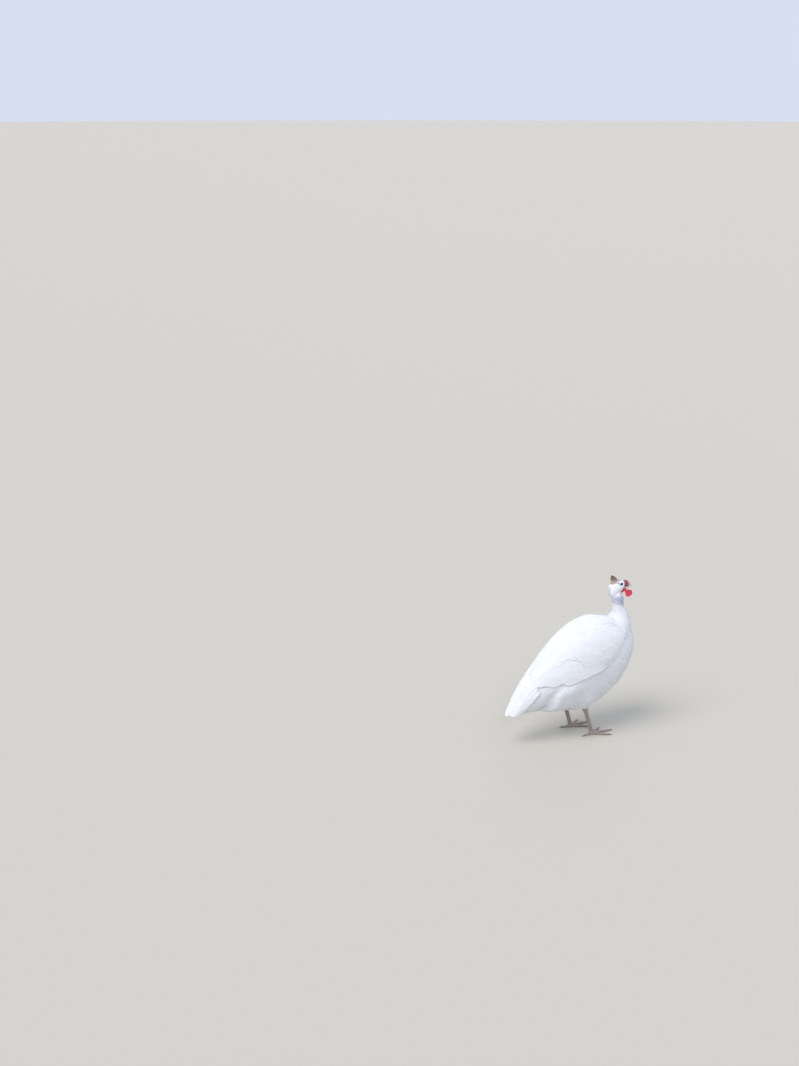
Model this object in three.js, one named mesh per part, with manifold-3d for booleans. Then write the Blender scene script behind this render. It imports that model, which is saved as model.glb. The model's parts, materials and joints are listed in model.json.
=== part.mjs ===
// A white domestic guinea fowl, life size, standing alert: neck up, back arched, tail low.
// Millimetres, +Z up. The bird faces +X and its left side is +Y. Z = 0 is the floor under its toes.
import * as THREE from "three";
import { mergeVertices } from "three/addons/utils/BufferGeometryUtils.js";
import Module from "manifold-3d";

const wasm = await Module();
wasm.setup();

const TURN = 2 * Math.PI;
const GAP = 0.3; // between a part and the part it grows from
const SIDES = { left: 1, right: -1 };

// Trunk and tail, from the tail tip forward to the breast.
// Each station has the back's point [x, z], the keel's point [x, z] and the half width there.
const STATIONS = {
  tailTip: [-217, 78, -208, 66, 17],
  tailMiddle: [-188, 128, -176, 78, 27],
  rump: [-154, 178, -134, 79, 40],
  loin: [-112, 224, -90, 74, 54],
  saddle: [-66, 266, -44, 67, 66],
  back: [-16, 298, 4, 64, 73],
  mantle: [36, 313, 52, 82, 75],
  shoulder: [84, 308, 98, 116, 73],
  neckBase: [124, 295, 136, 160, 66],
  breast: [165, 282, 164, 198, 54],
};
const TRUNK = { rear: 0.2, front: 1, rearRound: 0.08, frontRound: 0.3 };

// Neck: centre line [x, z] and radius, from inside the breast up into the skull.
const NECK = {
  root: [98, 252, 57],
  flare: [116, 281, 41],
  throat: [121, 306, 27],
  narrow: [115, 330, 17.6],
  collar: [112, 352, 16],
  nape: [107, 372, 13],
};
const NECK_PART = -42; // the neck ends this far below the eyes

// Head frame: the point between the eyes, and how far the bill is raised and turned to the right.
const HEAD = { x: 118.5, z: 390, raise: 2, turn: 4 };
// Skull sections from nape to bill base: [top x, top z, jaw x, jaw z, half width].
const SKULL = {
  nape: [-35, -14, -30, -32, 8.5],
  occiput: [-31, -3, -22, -39, 12],
  crown: [-20, 5, -10, -35, 14],
  brow: [-8, 8.4, -2, -26, 14.4],
  eyes: [3, 8, 5, -18, 13.2],
  lores: [10, 6, 9, -14, 10.2],
  billBase: [16, 3, 14, -11, 7.6],
};
const EYE = { x: -1, z: 1, radius: 5.6, side: 9.2, lid: 4.6, lidTube: 1.2, lidSide: 12.9 };
const EAR = { x: -9, z: -15, radius: 2.2, side: 14 };
// Upper bill sections: [ridge x, ridge z, mouth x, mouth z, half width]. The cere is its first stretch.
const UPPER_BILL = {
  root: [8, 6, 8, -8, 8.6],
  cere: [17, 4.8, 17, -9, 7.8],
  nostril: [24, 3, 24, -9.6, 6.2],
  bend: [30, -1.6, 29.5, -10.6, 4.4],
  hook: [34.5, -8, 33, -12.4, 2.5],
  tip: [36, -16, 35.2, -15.4, 0.8],
};
const CERE_END = 21.5;
const LOWER_BILL = {
  root: [7, -10.3, 7, -17, 7.8],
  middle: [16, -10.5, 16, -17, 6.6],
  fore: [25, -11.2, 25, -16.4, 4.4],
  tip: [31.5, -13, 31.5, -14.6, 1.5],
};
const NOSTRIL = { x: 22.5, z: -1.5, side: 6.6, long: 2.6, high: 1.1, deep: 2.2 };
// Casque: a bony knob that leans back from the crown.
const CASQUE = {
  baseX: -14,
  baseZ: 1,
  topX: -23,
  topZ: 24,
  baseLong: 12,
  baseWide: 6.4,
  topLong: 6,
  topWide: 3.4,
};
// Wattle: where it leaves the jaw, the middle of its lobe, the lobe's size across and along, and its cup.
const WATTLE = {
  root: [8, 8.5, -14],
  middle: [19, 15, -27],
  across: [0.72, 0.1, 0.68],
  wide: 10.5,
  long: 7.5,
  thick: 1.5,
  cup: 0.035,
  stalk: 3,
};

// Legs. The right foot stands a little ahead of the left.
const LEG = {
  spread: 34,
  stride: 10.5,
  footX: 12.5,
  hockBack: 24,
  hockZ: 82,
  shankWide: 4.6,
  shankDeep: 5.6,
  hockRadius: 7.6,
  padRadius: 8.5,
  padHigh: 9,
  rings: 20,
  scute: 0.5,
};
const THIGH = { topX: 2, topZ: 130, topOut: 13, topRadius: 35, endRadius: 11 };
// Toes: length, angle away from straight ahead towards the outside, radius at the root,
// and the angles on either side that part a toe from the ones beside it.
const TOES = {
  middle: { long: 46, angle: 3, radius: 4.3, beside: [-16.5, 15.5] },
  inner: { long: 33, angle: -30, radius: 3.9, beside: [16.5] },
  outer: { long: 36, angle: 34, radius: 3.9, beside: [-15.5] },
  hind: { long: 13, angle: 172, radius: 3.3, beside: [] },
};
const CLAW = { long: 10, radius: 2.2, tip: 0.7 };

const COLOURS = {
  plumage: new THREE.MeshStandardMaterial({ color: "#eef0f6", roughness: 0.8, metalness: 0 }),
  skin: new THREE.MeshStandardMaterial({ color: "#dcdfea", roughness: 0.6, metalness: 0 }),
  casque: new THREE.MeshStandardMaterial({ color: "#5d4a3c", roughness: 0.55, metalness: 0 }),
  cere: new THREE.MeshStandardMaterial({ color: "#7d3a45", roughness: 0.6, metalness: 0 }),
  bill: new THREE.MeshStandardMaterial({ color: "#d9b3a4", roughness: 0.45, metalness: 0 }),
  wattle: new THREE.MeshStandardMaterial({ color: "#b3263a", roughness: 0.55, metalness: 0 }),
  eye: new THREE.MeshStandardMaterial({ color: "#140d0b", roughness: 0.08, metalness: 0 }),
  leg: new THREE.MeshStandardMaterial({ color: "#8f8378", roughness: 0.65, metalness: 0 }),
  claw: new THREE.MeshStandardMaterial({ color: "#4d423b", roughness: 0.45, metalness: 0 }),
};

const point = (x, y, z) => new THREE.Vector3(x, y, z);
const radians = THREE.MathUtils.degToRad;
const mix = THREE.MathUtils.lerp;
const ease = THREE.MathUtils.smoothstep;

// Evenly spread numbers between 0 and 1, the same on every run.
function dice(seed) {
  let state = seed;
  return () => {
    state = (state * 16807) % 2147483647;
    return state / 2147483647;
  };
}

// A smooth line through a list of numbers, read from 0 to 1.
function through(values) {
  const line = new THREE.CatmullRomCurve3(values.map((v) => point(v, 0, 0)), false, "catmullrom");
  return (t) => line.getPoint(t).x;
}

// The smooth lines through each column of a table of named stations.
function columns(table) {
  const rows = Object.values(table);
  return rows[0].map((_, i) => through(rows.map((row) => row[i])));
}

// How far a form has closed towards its two ends: 1 in the middle, falling to 0 like a round end.
function roundEnds(t, startRound, endRound) {
  const start = Math.max(0, 1 - t / startRound);
  const end = Math.max(0, 1 - (1 - t) / endRound);
  return Math.sqrt(Math.max(0, 1 - start * start)) * Math.sqrt(Math.max(0, 1 - end * end));
}

// A geometry's closed surface as a solid. A surface that came out inside out is turned.
function solid(geometry) {
  const bare = new THREE.BufferGeometry();
  bare.setAttribute("position", geometry.getAttribute("position"));
  bare.setIndex(geometry.index);
  const merged = mergeVertices(bare, 1e-4);
  const corners = merged.index.array;
  const at = merged.attributes.position;
  const faces = [];
  let volume = 0;
  const [a, b, c] = [point(), point(), point()];
  for (let i = 0; i < corners.length; i += 3) {
    const [p, q, r] = corners.subarray(i, i + 3);
    if (p === q || q === r || r === p) continue;
    faces.push([p, q, r]);
    b.fromBufferAttribute(at, q).cross(c.fromBufferAttribute(at, r));
    volume += a.fromBufferAttribute(at, p).dot(b);
  }
  const turned = volume < 0 ? faces.map(([p, q, r]) => [p, r, q]) : faces;
  return new wasm.Manifold(
    new wasm.Mesh({ numProp: 3, vertProperties: at.array, triVerts: new Uint32Array(turned.flat()) }),
  );
}

const join = (pieces) => wasm.Manifold.union(pieces);

// The largest closed surface of a solid, without loose scraps or sealed hollows.
function largest(form) {
  const bodies = form.decompose().sort((p, q) => q.volume() - p.volume());
  return bodies[0].simplify(0.05);
}

function mesh(name, form, material) {
  const made = largest(form).getMesh();
  const geometry = new THREE.BufferGeometry();
  geometry.setAttribute("position", new THREE.BufferAttribute(new Float32Array(made.vertProperties), 3));
  geometry.setIndex(new THREE.BufferAttribute(made.triVerts, 1));
  geometry.computeVertexNormals();
  const part = new THREE.Mesh(geometry, material);
  part.name = name;
  return part;
}

// The direction straight out of a form's surface. At a pole it is the mean of four around it.
function outward(place, t, a) {
  const inner = Math.min(Math.max(t, 0.004), 0.996);
  const turns = inner === t ? [a] : [0, 0.25, 0.5, 0.75].map((k) => k * TURN);
  const sum = point();
  for (const turn of turns) {
    const along = place(inner + 0.002, turn).sub(place(inner - 0.002, turn));
    const round = place(inner, turn + 0.01).sub(place(inner, turn - 0.01));
    const through = place(inner, turn).sub(place(inner, turn + Math.PI));
    const straight = along.cross(round).normalize();
    sum.addScaledVector(straight, Math.sign(straight.dot(through)));
  }
  return sum.normalize();
}

// The point of a form, moved out along its surface by a depth.
function offset(place, t, a, depth) {
  const at = place(t, a);
  return depth ? at.addScaledVector(outward(place, t, a), depth) : at;
}

// A ball carried to place(along, around): along runs from 0 to 1, pole to pole, and around is a full turn.
function ball(place, sides, rings, depth = 0) {
  const geometry = new THREE.SphereGeometry(1, sides, rings);
  const { position, uv } = geometry.attributes;
  for (let i = 0; i < position.count; i++) {
    const at = offset(place, 1 - uv.getY(i), uv.getX(i) * TURN, depth);
    position.setXYZ(i, at.x, at.y, at.z);
  }
  return solid(geometry);
}

// A ball whose own points are moved by a function.
function shapedBall(move, sides, rings) {
  const geometry = new THREE.SphereGeometry(1, sides, rings);
  const { position } = geometry.attributes;
  for (let i = 0; i < position.count; i++) {
    const at = move(point().fromBufferAttribute(position, i));
    position.setXYZ(i, at.x, at.y, at.z);
  }
  return solid(geometry);
}

// A sheet with two faces, split into triangles alike: place(along 0 to 1, across -1 to 1, face 0 or 1).
function sheet(place, steps, across) {
  const grid = new THREE.PlaneGeometry(1, 1, across, steps.length - 1);
  const wide = across + 1;
  const count = steps.length * wide;
  const at = [];
  for (const face of [0, 1]) {
    for (const t of steps) {
      for (let j = 0; j < wide; j++) at.push(place(t, (2 * j) / across - 1, face));
    }
  }
  const upper = [...grid.index.array].map((i) => i + count);
  const lower = [];
  for (let i = 0; i < grid.index.count; i += 3) {
    const [p, q, r] = grid.index.array.subarray(i, i + 3);
    lower.push(p, r, q);
  }
  const rows = steps.length - 1;
  const rim = [];
  for (let i = 0; i < rows; i++) rim.push(i * wide);
  for (let j = 0; j < across; j++) rim.push(rows * wide + j);
  for (let i = rows; i > 0; i--) rim.push(i * wide + across);
  for (let j = across; j > 0; j--) rim.push(j);
  const wall = rim.flatMap((p, i) => {
    const q = rim[(i + 1) % rim.length];
    return [p, q, q + count, p, q + count, p + count];
  });
  const geometry = new THREE.BufferGeometry().setFromPoints(at);
  geometry.setIndex([...upper, ...lower, ...wall]);
  return solid(geometry);
}

// A section between a top and a bottom point in the X-Z plane, round in Y.
// Its widest level is a share of its height.
function section(lines, t, angle, closed, level = 0.5) {
  const [topX, topZ, lowX, lowZ, half] = lines.map((line) => line(t));
  const share = Math.cos(angle) > 0 ? level + (1 - level) * Math.cos(angle) : level * (1 + Math.cos(angle));
  const centred = level + (share - level) * closed;
  return point(
    mix(lowX, topX, centred),
    half * closed * Math.sin(angle),
    mix(lowZ, topZ, centred),
  );
}

const body = columns(STATIONS);

// The plumage's surface: s from the tail tip (0) to the breast (1), angle from the back round the side.
function plumage(s, angle, lift = 0) {
  const place = (t, a) => section(body, t, a, 1);
  return offset(place, s, angle, lift);
}

function trunkPlace(t, angle) {
  const spread = (1 - Math.cos(Math.PI * t)) / 2;
  const closed = roundEnds(spread, TRUNK.rearRound, TRUNK.frontRound);
  return section(body, mix(TRUNK.rear, TRUNK.front, spread), angle, closed);
}

const trunk = (depth) => ball(trunkPlace, 30, 24, depth);

const neckLine = new THREE.CatmullRomCurve3(Object.values(NECK).map(([x, z]) => point(x, 0, z)));
const neckRadius = through(Object.values(NECK).map((row) => row[2]));

function neckPlace(t, angle) {
  const along = Math.min(Math.max(t, 0), 1);
  const centre = neckLine.getPoint(along);
  const tangent = neckLine.getTangent(along);
  const across = point(0, 1, 0);
  const fore = across.clone().cross(tangent);
  const radius = neckRadius(along) * roundEnds(along, 0.1, 0.1);
  return centre
    .addScaledVector(fore, radius * Math.cos(angle))
    .addScaledVector(across, radius * Math.sin(angle));
}

const headFrame = new THREE.Matrix4()
  .makeTranslation(HEAD.x, 0, HEAD.z)
  .multiply(new THREE.Matrix4().makeRotationZ(radians(-HEAD.turn)))
  .multiply(new THREE.Matrix4().makeRotationY(radians(-HEAD.raise)));
const headFrameBack = headFrame.clone().invert();

// The neck's form as the head's own frame sees it.
const neckForm = (depth) => ball(neckPlace, 20, 16, depth);
const neckInHead = (depth) => neckForm(depth).transform(headFrameBack.elements);

const skullLines = columns(SKULL);
function skullPlace(t, angle) {
  const spread = (1 - Math.cos(Math.PI * t)) / 2;
  return section(skullLines, spread, angle, roundEnds(spread, 0.3, 0.2));
}
const skullForm = (depth) => ball(skullPlace, 22, 16, depth);

function block(x0, x1, y, z0, z1) {
  const geometry = new THREE.BoxGeometry(x1 - x0, 2 * y, z1 - z0);
  return solid(geometry.translate((x0 + x1) / 2, 0, (z0 + z1) / 2));
}

// A ring of lid or ear skin that stands on the side of the head, seen along Y.
function rim(x, y, z, radius, tube, sides) {
  const geometry = new THREE.TorusGeometry(radius, tube, 5, sides);
  return solid(geometry.rotateX(Math.PI / 2).translate(x, y, z));
}

function orb(x, y, z, radius, sides = 14, rings = 9) {
  return solid(new THREE.SphereGeometry(radius, sides, rings).translate(x, y, z));
}

function makeHead() {
  const flesh = [skullForm(0), neckInHead(0)];
  const holes = [];
  for (const side of Object.values(SIDES)) {
    flesh.push(rim(EYE.x, side * EYE.lidSide, EYE.z, EYE.lid, EYE.lidTube, 14));
    flesh.push(rim(EAR.x, side * EAR.side, EAR.z, EAR.radius, 0.8, 9));
    holes.push(orb(EYE.x, side * EYE.side, EYE.z, EYE.radius + GAP));
    holes.push(orb(EAR.x, side * (EAR.side + 1), EAR.z, EAR.radius - 0.4, 8, 6));
  }
  const below = block(-100, 100, 100, -200, NECK_PART);
  return join(flesh).subtract(join([...holes, below]));
}

function makeNeck() {
  const above = block(-100, 100, 100, NECK_PART - GAP, 100).transform(headFrame.elements);
  return neckForm(0).subtract(above).subtract(trunk(GAP));
}

function tablePlace(table, level, startRound, endRound) {
  const lines = columns(table);
  return (t, angle) => section(lines, t, angle, roundEnds(t, startRound, endRound), level);
}

function makeBill() {
  const face = join([skullForm(GAP), neckInHead(GAP)]);
  const upper = ball(tablePlace(UPPER_BILL, 0.3, 0.1, 0.15), 14, 11).subtract(face);
  const lower = ball(tablePlace(LOWER_BILL, 0.8, 0.1, 0.2), 12, 7).subtract(face);
  const nostrils = Object.values(SIDES).map((side) => {
    const centre = point(NOSTRIL.x, side * NOSTRIL.side, NOSTRIL.z);
    const size = point(NOSTRIL.long, NOSTRIL.deep, NOSTRIL.high);
    return shapedBall((p) => p.multiply(size).add(centre), 9, 5);
  });
  const holed = upper.subtract(join(nostrils));
  return {
    cere: holed.subtract(block(CERE_END, 100, 50, -50, 50)),
    bill_upper: holed.subtract(block(-100, CERE_END + GAP, 50, -50, 50)),
    bill_lower: lower,
  };
}

function makeCasque() {
  const place = (t, angle) => {
    const closed = roundEnds(t, 0.05, 0.45);
    const long = mix(CASQUE.baseLong, CASQUE.topLong, t) * closed;
    const wide = mix(CASQUE.baseWide, CASQUE.topWide, t) * closed;
    return point(
      mix(CASQUE.baseX, CASQUE.topX, t * t * 0.4 + t * 0.6) + long * Math.cos(angle),
      wide * Math.sin(angle),
      mix(CASQUE.baseZ, CASQUE.topZ, t),
    );
  };
  return ball(place, 14, 10).subtract(skullForm(GAP));
}

function makeWattle(side) {
  const [root, middle, across] = ["root", "middle", "across"].map((k) => {
    const [x, y, z] = WATTLE[k];
    return point(x, side * y, z);
  });
  const face = across.clone().cross(middle.clone().sub(root)).normalize();
  face.multiplyScalar(Math.sign(face.y * side));
  const down = across.clone().cross(face).normalize();
  const lobe = shapedBall(
    (p) => {
      const [wide, long] = [p.x * WATTLE.wide, p.z * WATTLE.long];
      const edge = p.x * p.x + p.z * p.z;
      const cup = WATTLE.cup * (wide * wide + long * long);
      return middle
        .clone()
        .addScaledVector(across, wide)
        .addScaledVector(down, long)
        .addScaledVector(face, cup + p.y * WATTLE.thick * (1 + 0.6 * edge));
    },
    13,
    8,
  );
  const stem = (t, angle) => {
    const radius = WATTLE.stalk * roundEnds(t, 0.15, 0.15);
    return root
      .clone()
      .lerp(middle, t)
      .addScaledVector(across, radius * 1.3 * Math.cos(angle))
      .addScaledVector(face, radius * 0.7 * Math.sin(angle));
  };
  const near = join([
    skullForm(GAP),
    neckInHead(GAP),
    ball(tablePlace(LOWER_BILL, 0.8, 0.1, 0.2), 12, 7, GAP),
    ball(tablePlace(UPPER_BILL, 0.3, 0.1, 0.15), 14, 11, GAP),
  ]);
  return join([lobe, ball(stem, 8, 6)]).subtract(near);
}

// The folded wing's upper and lower edges, as angles round the body, from its tip (0) to the shoulder (1),
// and the thickness of its flesh from the flight feathers' roots (0) to the shoulder (1).
const WING = {
  rear: 0.18,
  front: 0.86,
  upper: [0.45, 0.2, 0.22, 0.28, 0.34, 0.44, 0.75],
  lower: [0.75, 1.2, 1.5, 1.58, 1.6, 1.5, 1.1],
  fleshRear: 0.42,
  flesh: [1.8, 2.6, 3.8, 5.2, 6.4, 5.4, 1.2],
  edge: 1.2,
};
// Wing feathers by tier, from the lowest feather of a tier to the highest: how many there are,
// where roots and tips lie along the body and round it, how high the tips lie, and the vane's width.
const WING_TIERS = {
  primaries: {
    count: 3,
    root: [0.47, 1.4, 0.47, 1.2],
    tip: [0.28, 1.2, 0.178, 0.7],
    lift: [0.8, 0.9],
    wide: 19,
  },
  secondaries: {
    count: 6,
    root: [0.55, 1.46, 0.55, 0.46],
    tip: [0.37, 1.44, 0.21, 0.4],
    lift: [1.8, 3.8],
    wide: 24,
  },
  greaterCoverts: {
    count: 5,
    root: [0.61, 1.36, 0.61, 0.56],
    tip: [0.455, 1.34, 0.4, 0.53],
    lift: [4, 5],
    wide: 27,
  },
  medianCoverts: {
    count: 6,
    root: [0.675, 1.46, 0.675, 0.46],
    tip: [0.555, 1.46, 0.535, 0.45],
    lift: [5.6, 6.4],
    wide: 27,
  },
  lesserCoverts: {
    count: 5,
    root: [0.74, 1.36, 0.74, 0.56],
    tip: [0.64, 1.36, 0.63, 0.55],
    lift: [7.4, 7.9],
    wide: 28,
  },
};
const VANE = {
  shaft: 0.8,
  edge: 0.5,
  sink: 1.6,
  rise: 4,
  roll: -0.12,
  steps: [0, 0.4, 0.76, 0.93, 1],
  shortSteps: [0, 0.45, 0.84, 1],
};

const wingUpper = through(WING.upper);
const wingLower = through(WING.lower);
const wingFlesh = through(WING.flesh);
const share = (value, from, to) => (value - from) / (to - from);

// The height of the wing's flesh over the body, at a place along the body and round it.
function fleshLift(s, angle) {
  const t = share(s, WING.rear, WING.front);
  const across = THREE.MathUtils.clamp(2 * share(angle, wingUpper(t), wingLower(t)) - 1, -1, 1);
  return mix(WING.edge, wingFlesh(share(s, WING.fleshRear, WING.front)), Math.sqrt(1 - Math.pow(across, 4)));
}

// A place on the plumage's surface, a distance to the side of a path that runs over it.
function beside(s, angle, ds, dAngle, distance) {
  const along = plumage(s + 0.002, angle).sub(plumage(s - 0.002, angle)).divideScalar(0.004);
  const round = plumage(s, angle + 0.01).sub(plumage(s, angle - 0.01)).divideScalar(0.02);
  const path = along.clone().multiplyScalar(ds).addScaledVector(round, dAngle);
  const aside = along.clone().cross(round).cross(path).setLength(distance);
  const [aa, ab, bb] = [along.dot(along), along.dot(round), round.dot(round)];
  const [as, bs] = [along.dot(aside), round.dot(aside)];
  const spread = aa * bb - ab * ab;
  return [s + (as * bb - bs * ab) / spread, angle + (bs * aa - as * ab) / spread];
}

// One feather's vane, laid over the plumage from its root to its tip: thickest along the shaft,
// rounded at the tip, its lower edge raised over the feather below.
function vane({ root, tip, lifts, wide, side, roll = VANE.roll, steps = VANE.steps }) {
  const place = (t, across, face) => {
    const outline = mix(0.5, 1, ease(t, 0, 0.5)) * Math.sqrt(1 - Math.pow(Math.max(0, t - 0.72) / 0.3, 2));
    const offside = (across * wide * outline) / 2;
    const [ds, dAngle] = [tip[0] - root[0], side * (tip[1] - root[1])];
    const [s, angle] = beside(
      mix(root[0], tip[0], t),
      side * mix(root[1], tip[1], t),
      ds,
      dAngle,
      side * offside,
    );
    const top = mix(lifts[0], lifts[1], 1 - Math.pow(1 - t, VANE.rise)) + roll * offside;
    const thick = mix(VANE.shaft, VANE.edge, Math.max(Math.abs(across), t * t * 0.8));
    return plumage(s, angle, top - face * thick);
  };
  return sheet(place, steps, 2);
}

// The feathers of a group, from its first to its last.
function vanes(group, side, random) {
  return Array.from({ length: group.count }, (_, i) => {
    const u = group.count > 1 ? i / (group.count - 1) : 0;
    const [rootS, rootA] = [mix(group.root[0], group.root[2], u), mix(group.root[1], group.root[3], u)];
    const [tipS, tipA] = [mix(group.tip[0], group.tip[2], u), mix(group.tip[1], group.tip[3], u)];
    return vane({
      root: [rootS, rootA],
      tip: [tipS + 0.008 * (random() - 0.5), tipA],
      lifts: [group.rootLift ?? fleshLift(rootS, rootA) - VANE.sink, mix(...group.lift, u)],
      wide: group.wide * (0.95 + 0.1 * random()),
      steps: rootS - tipS < 0.14 ? VANE.shortSteps : VANE.steps,
      side,
    });
  });
}

function makeWing(side) {
  const flesh = (t, across, face) => {
    const s = mix(WING.fleshRear, WING.front, t);
    const edges = share(s, WING.rear, WING.front);
    const angle = mix(wingUpper(edges), wingLower(edges), (across + 1) / 2);
    return plumage(s, side * angle, face ? fleshLift(s, angle) : -1);
  };
  const steps = Array.from({ length: 8 }, (_, i) => i / 7);
  const random = dice(7);
  const feathers = Object.values(WING_TIERS).flatMap((tier) => vanes(tier, side, random));
  const wing = join([sheet(flesh, steps, 4), ...feathers]);
  return wing.subtract(join([trunk(GAP), tailForm(GAP)]));
}

// The tail's flesh, and the feathers on each side of it, from the back's middle towards the keel.
const TAIL = { rear: 0.055, front: 0.27, inset: -1.2 };
const TAIL_GROUPS = {
  rectrices: {
    count: 4,
    root: [0.17, 0.36, 0.17, 1.36],
    tip: [0.015, 0.42, 0.04, 1.6],
    lift: [2.8, 0.7],
    wide: 16,
  },
  upperCoverts: {
    count: 2,
    root: [0.165, 0.32, 0.165, 0.9],
    tip: [0.085, 0.34, 0.095, 1],
    lift: [4.4, 4],
    wide: 19,
  },
  underCoverts: {
    count: 2,
    root: [0.19, 2.8, 0.19, 2.2],
    tip: [0.08, 2.76, 0.1, 2.1],
    lift: [0.4, 1.3],
    wide: 22,
  },
};
const DECK_FEATHER = {
  count: 1,
  root: [0.17, 0, 0.17, 0],
  tip: [0.004, 0, 0.004, 0],
  lift: [3.2, 3.2],
  wide: 17,
};

function tailForm(depth) {
  const place = (t, angle) => section(body, mix(TAIL.rear, TAIL.front, t), angle, roundEnds(t, 0.35, 0.1));
  return ball(place, 16, 7, TAIL.inset + depth);
}

function makeTail() {
  const rootLift = TAIL.inset - VANE.sink;
  const random = dice(3);
  const feathers = Object.values(SIDES).flatMap((side) =>
    Object.values(TAIL_GROUPS).flatMap((group) => vanes({ ...group, rootLift }, side, random)),
  );
  const deck = vanes({ ...DECK_FEATHER, rootLift }, 1, random);
  return join([tailForm(0), ...feathers, ...deck]).subtract(trunk(GAP));
}

// A leg's own frame has its origin on the floor under the foot's pad. Broad scutes cross the shank's front.
function footX(side) {
  return LEG.footX - side * LEG.stride;
}

function shankPlace(side) {
  return (t, angle) => {
    const z = mix(-6, LEG.hockZ, t);
    const lean = (-LEG.hockBack * Math.max(0, z - LEG.padHigh)) / (LEG.hockZ - LEG.padHigh);
    const knob = Math.exp(-Math.pow((t - 0.93) / 0.09, 2));
    const foot = Math.exp(-Math.pow(z / LEG.padHigh, 4));
    const closed = roundEnds(t, 0.02, 0.06);
    const wide = mix(mix(LEG.shankWide, LEG.padRadius, foot), LEG.hockRadius, knob) * closed;
    const deep = mix(mix(LEG.shankDeep, LEG.padRadius, foot), LEG.hockRadius + 1, knob) * closed;
    const scute = LEG.scute * (Math.round(t * LEG.rings) % 2) * Math.max(0, Math.cos(angle)) * closed;
    return point(
      footX(side) + lean + (deep + scute) * Math.cos(angle),
      side * LEG.spread + wide * Math.sin(angle),
      z,
    );
  };
}

function thighPlace(side) {
  const top = point(THIGH.topX, side * (LEG.spread + THIGH.topOut), THIGH.topZ);
  const end = point(footX(side) - LEG.hockBack, side * LEG.spread, LEG.hockZ - 10);
  return (t, angle) => {
    const centre = top.clone().lerp(end, t);
    const radius = mix(THIGH.topRadius, THIGH.endRadius, ease(t, 0.1, 1)) * roundEnds(t, 0.5, 0.04);
    return centre.add(point(1.15 * radius * Math.cos(angle), 0.8 * radius * Math.sin(angle), 0));
  };
}

function makeLeg(side) {
  const floor = block(-300, 300, 300, -100, 0);
  const thighWhole = (depth) => ball(thighPlace(side), 14, 8, depth);
  const shank = ball(shankPlace(side), 10, LEG.rings).subtract(join([thighWhole(GAP), trunk(GAP), floor]));
  const thigh = thighWhole(0).subtract(trunk(GAP));
  return { shank, thigh };
}

function makeToe(side, { long, radius, beside }) {
  const reach = LEG.padRadius + GAP;
  const place = (t, angle) => {
    const x = mix(2, reach + long + 7, t);
    const knuckle = 1 + 0.1 * Math.cos(t * 3 * TURN);
    const r = mix(radius, radius * 0.58, t) * knuckle * roundEnds(t, 0.02, 0.02);
    return point(x, r * Math.cos(angle), r * 0.8 + r * Math.sin(angle));
  };
  const pad = solid(new THREE.CylinderGeometry(reach, reach, 60, 32).rotateX(Math.PI / 2));
  const floor = block(-300, 300, 300, -100, 0);
  const behindClaw = block(reach + long - 1, 300, 300, -1, 100);
  const toe = ball(place, 8, 8).subtract(join([pad, floor, behindClaw]));
  return beside.reduce((form, angle) => {
    const turn = side * radians(angle);
    const normal = [Math.abs(Math.sin(turn)), -Math.sign(turn) * Math.cos(turn), 0];
    return form.trimByPlane(normal, GAP / 2);
  }, toe);
}

function makeClaw({ long, radius }) {
  const start = LEG.padRadius + GAP + long - 1 + GAP;
  const place = (t, angle) => {
    const bend = Math.sin(t * 1.3);
    const r = mix(CLAW.radius, CLAW.tip, t) * roundEnds(t, 0.02, 0.1);
    const high = radius * 0.56 + 0.6 * bend - 1.4 * t * t;
    return point(mix(start - 3, start + CLAW.long, t), r * Math.cos(angle) * 0.8, high + r * Math.sin(angle));
  };
  const behind = block(start - 50, start, 50, -50, 50);
  const floor = block(-300, 300, 300, -100, 0);
  return ball(place, 8, 5).subtract(join([behind, floor]));
}

const bird = new THREE.Group();
bird.add(mesh("torso", trunk(0), COLOURS.plumage));
bird.add(mesh("neck", makeNeck(), COLOURS.plumage));
bird.add(mesh("tail", makeTail(), COLOURS.plumage));

const headGroup = new THREE.Group();
headGroup.applyMatrix4(headFrame);
headGroup.add(mesh("head", makeHead(), COLOURS.skin));
headGroup.add(mesh("casque", makeCasque(), COLOURS.casque));
const bill = makeBill();
headGroup.add(mesh("cere", bill.cere, COLOURS.cere));
headGroup.add(mesh("bill_upper", bill.bill_upper, COLOURS.bill));
headGroup.add(mesh("bill_lower", bill.bill_lower, COLOURS.bill));
bird.add(headGroup);

for (const [name, side] of Object.entries(SIDES)) {
  headGroup.add(mesh(`eye_${name}`, orb(EYE.x, side * EYE.side, EYE.z, EYE.radius), COLOURS.eye));
  headGroup.add(mesh(`wattle_${name}`, makeWattle(side), COLOURS.wattle));
  bird.add(mesh(`wing_${name}`, makeWing(side), COLOURS.plumage));
  const leg = makeLeg(side);
  bird.add(mesh(`thigh_${name}`, leg.thigh, COLOURS.plumage));
  bird.add(mesh(`shank_${name}`, leg.shank, COLOURS.leg));
  const foot = new THREE.Group();
  foot.position.set(footX(side), side * LEG.spread, 0);
  for (const [name2, toe] of Object.entries(TOES)) {
    const ray = new THREE.Group();
    ray.rotation.z = side * radians(toe.angle);
    ray.add(mesh(`toe_${name}_${name2}`, makeToe(side, toe), COLOURS.leg));
    ray.add(mesh(`claw_${name}_${name2}`, makeClaw(toe), COLOURS.claw));
    foot.add(ray);
  }
  bird.add(foot);
}

// The origin is on the floor, under the middle of the bird's bounding box.
bird.updateMatrixWorld(true);
const bounds = new THREE.Box3().setFromObject(bird, true);
bird.position.set(-(bounds.min.x + bounds.max.x) / 2, -(bounds.min.y + bounds.max.y) / 2, -bounds.min.z);

export default bird;
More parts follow.
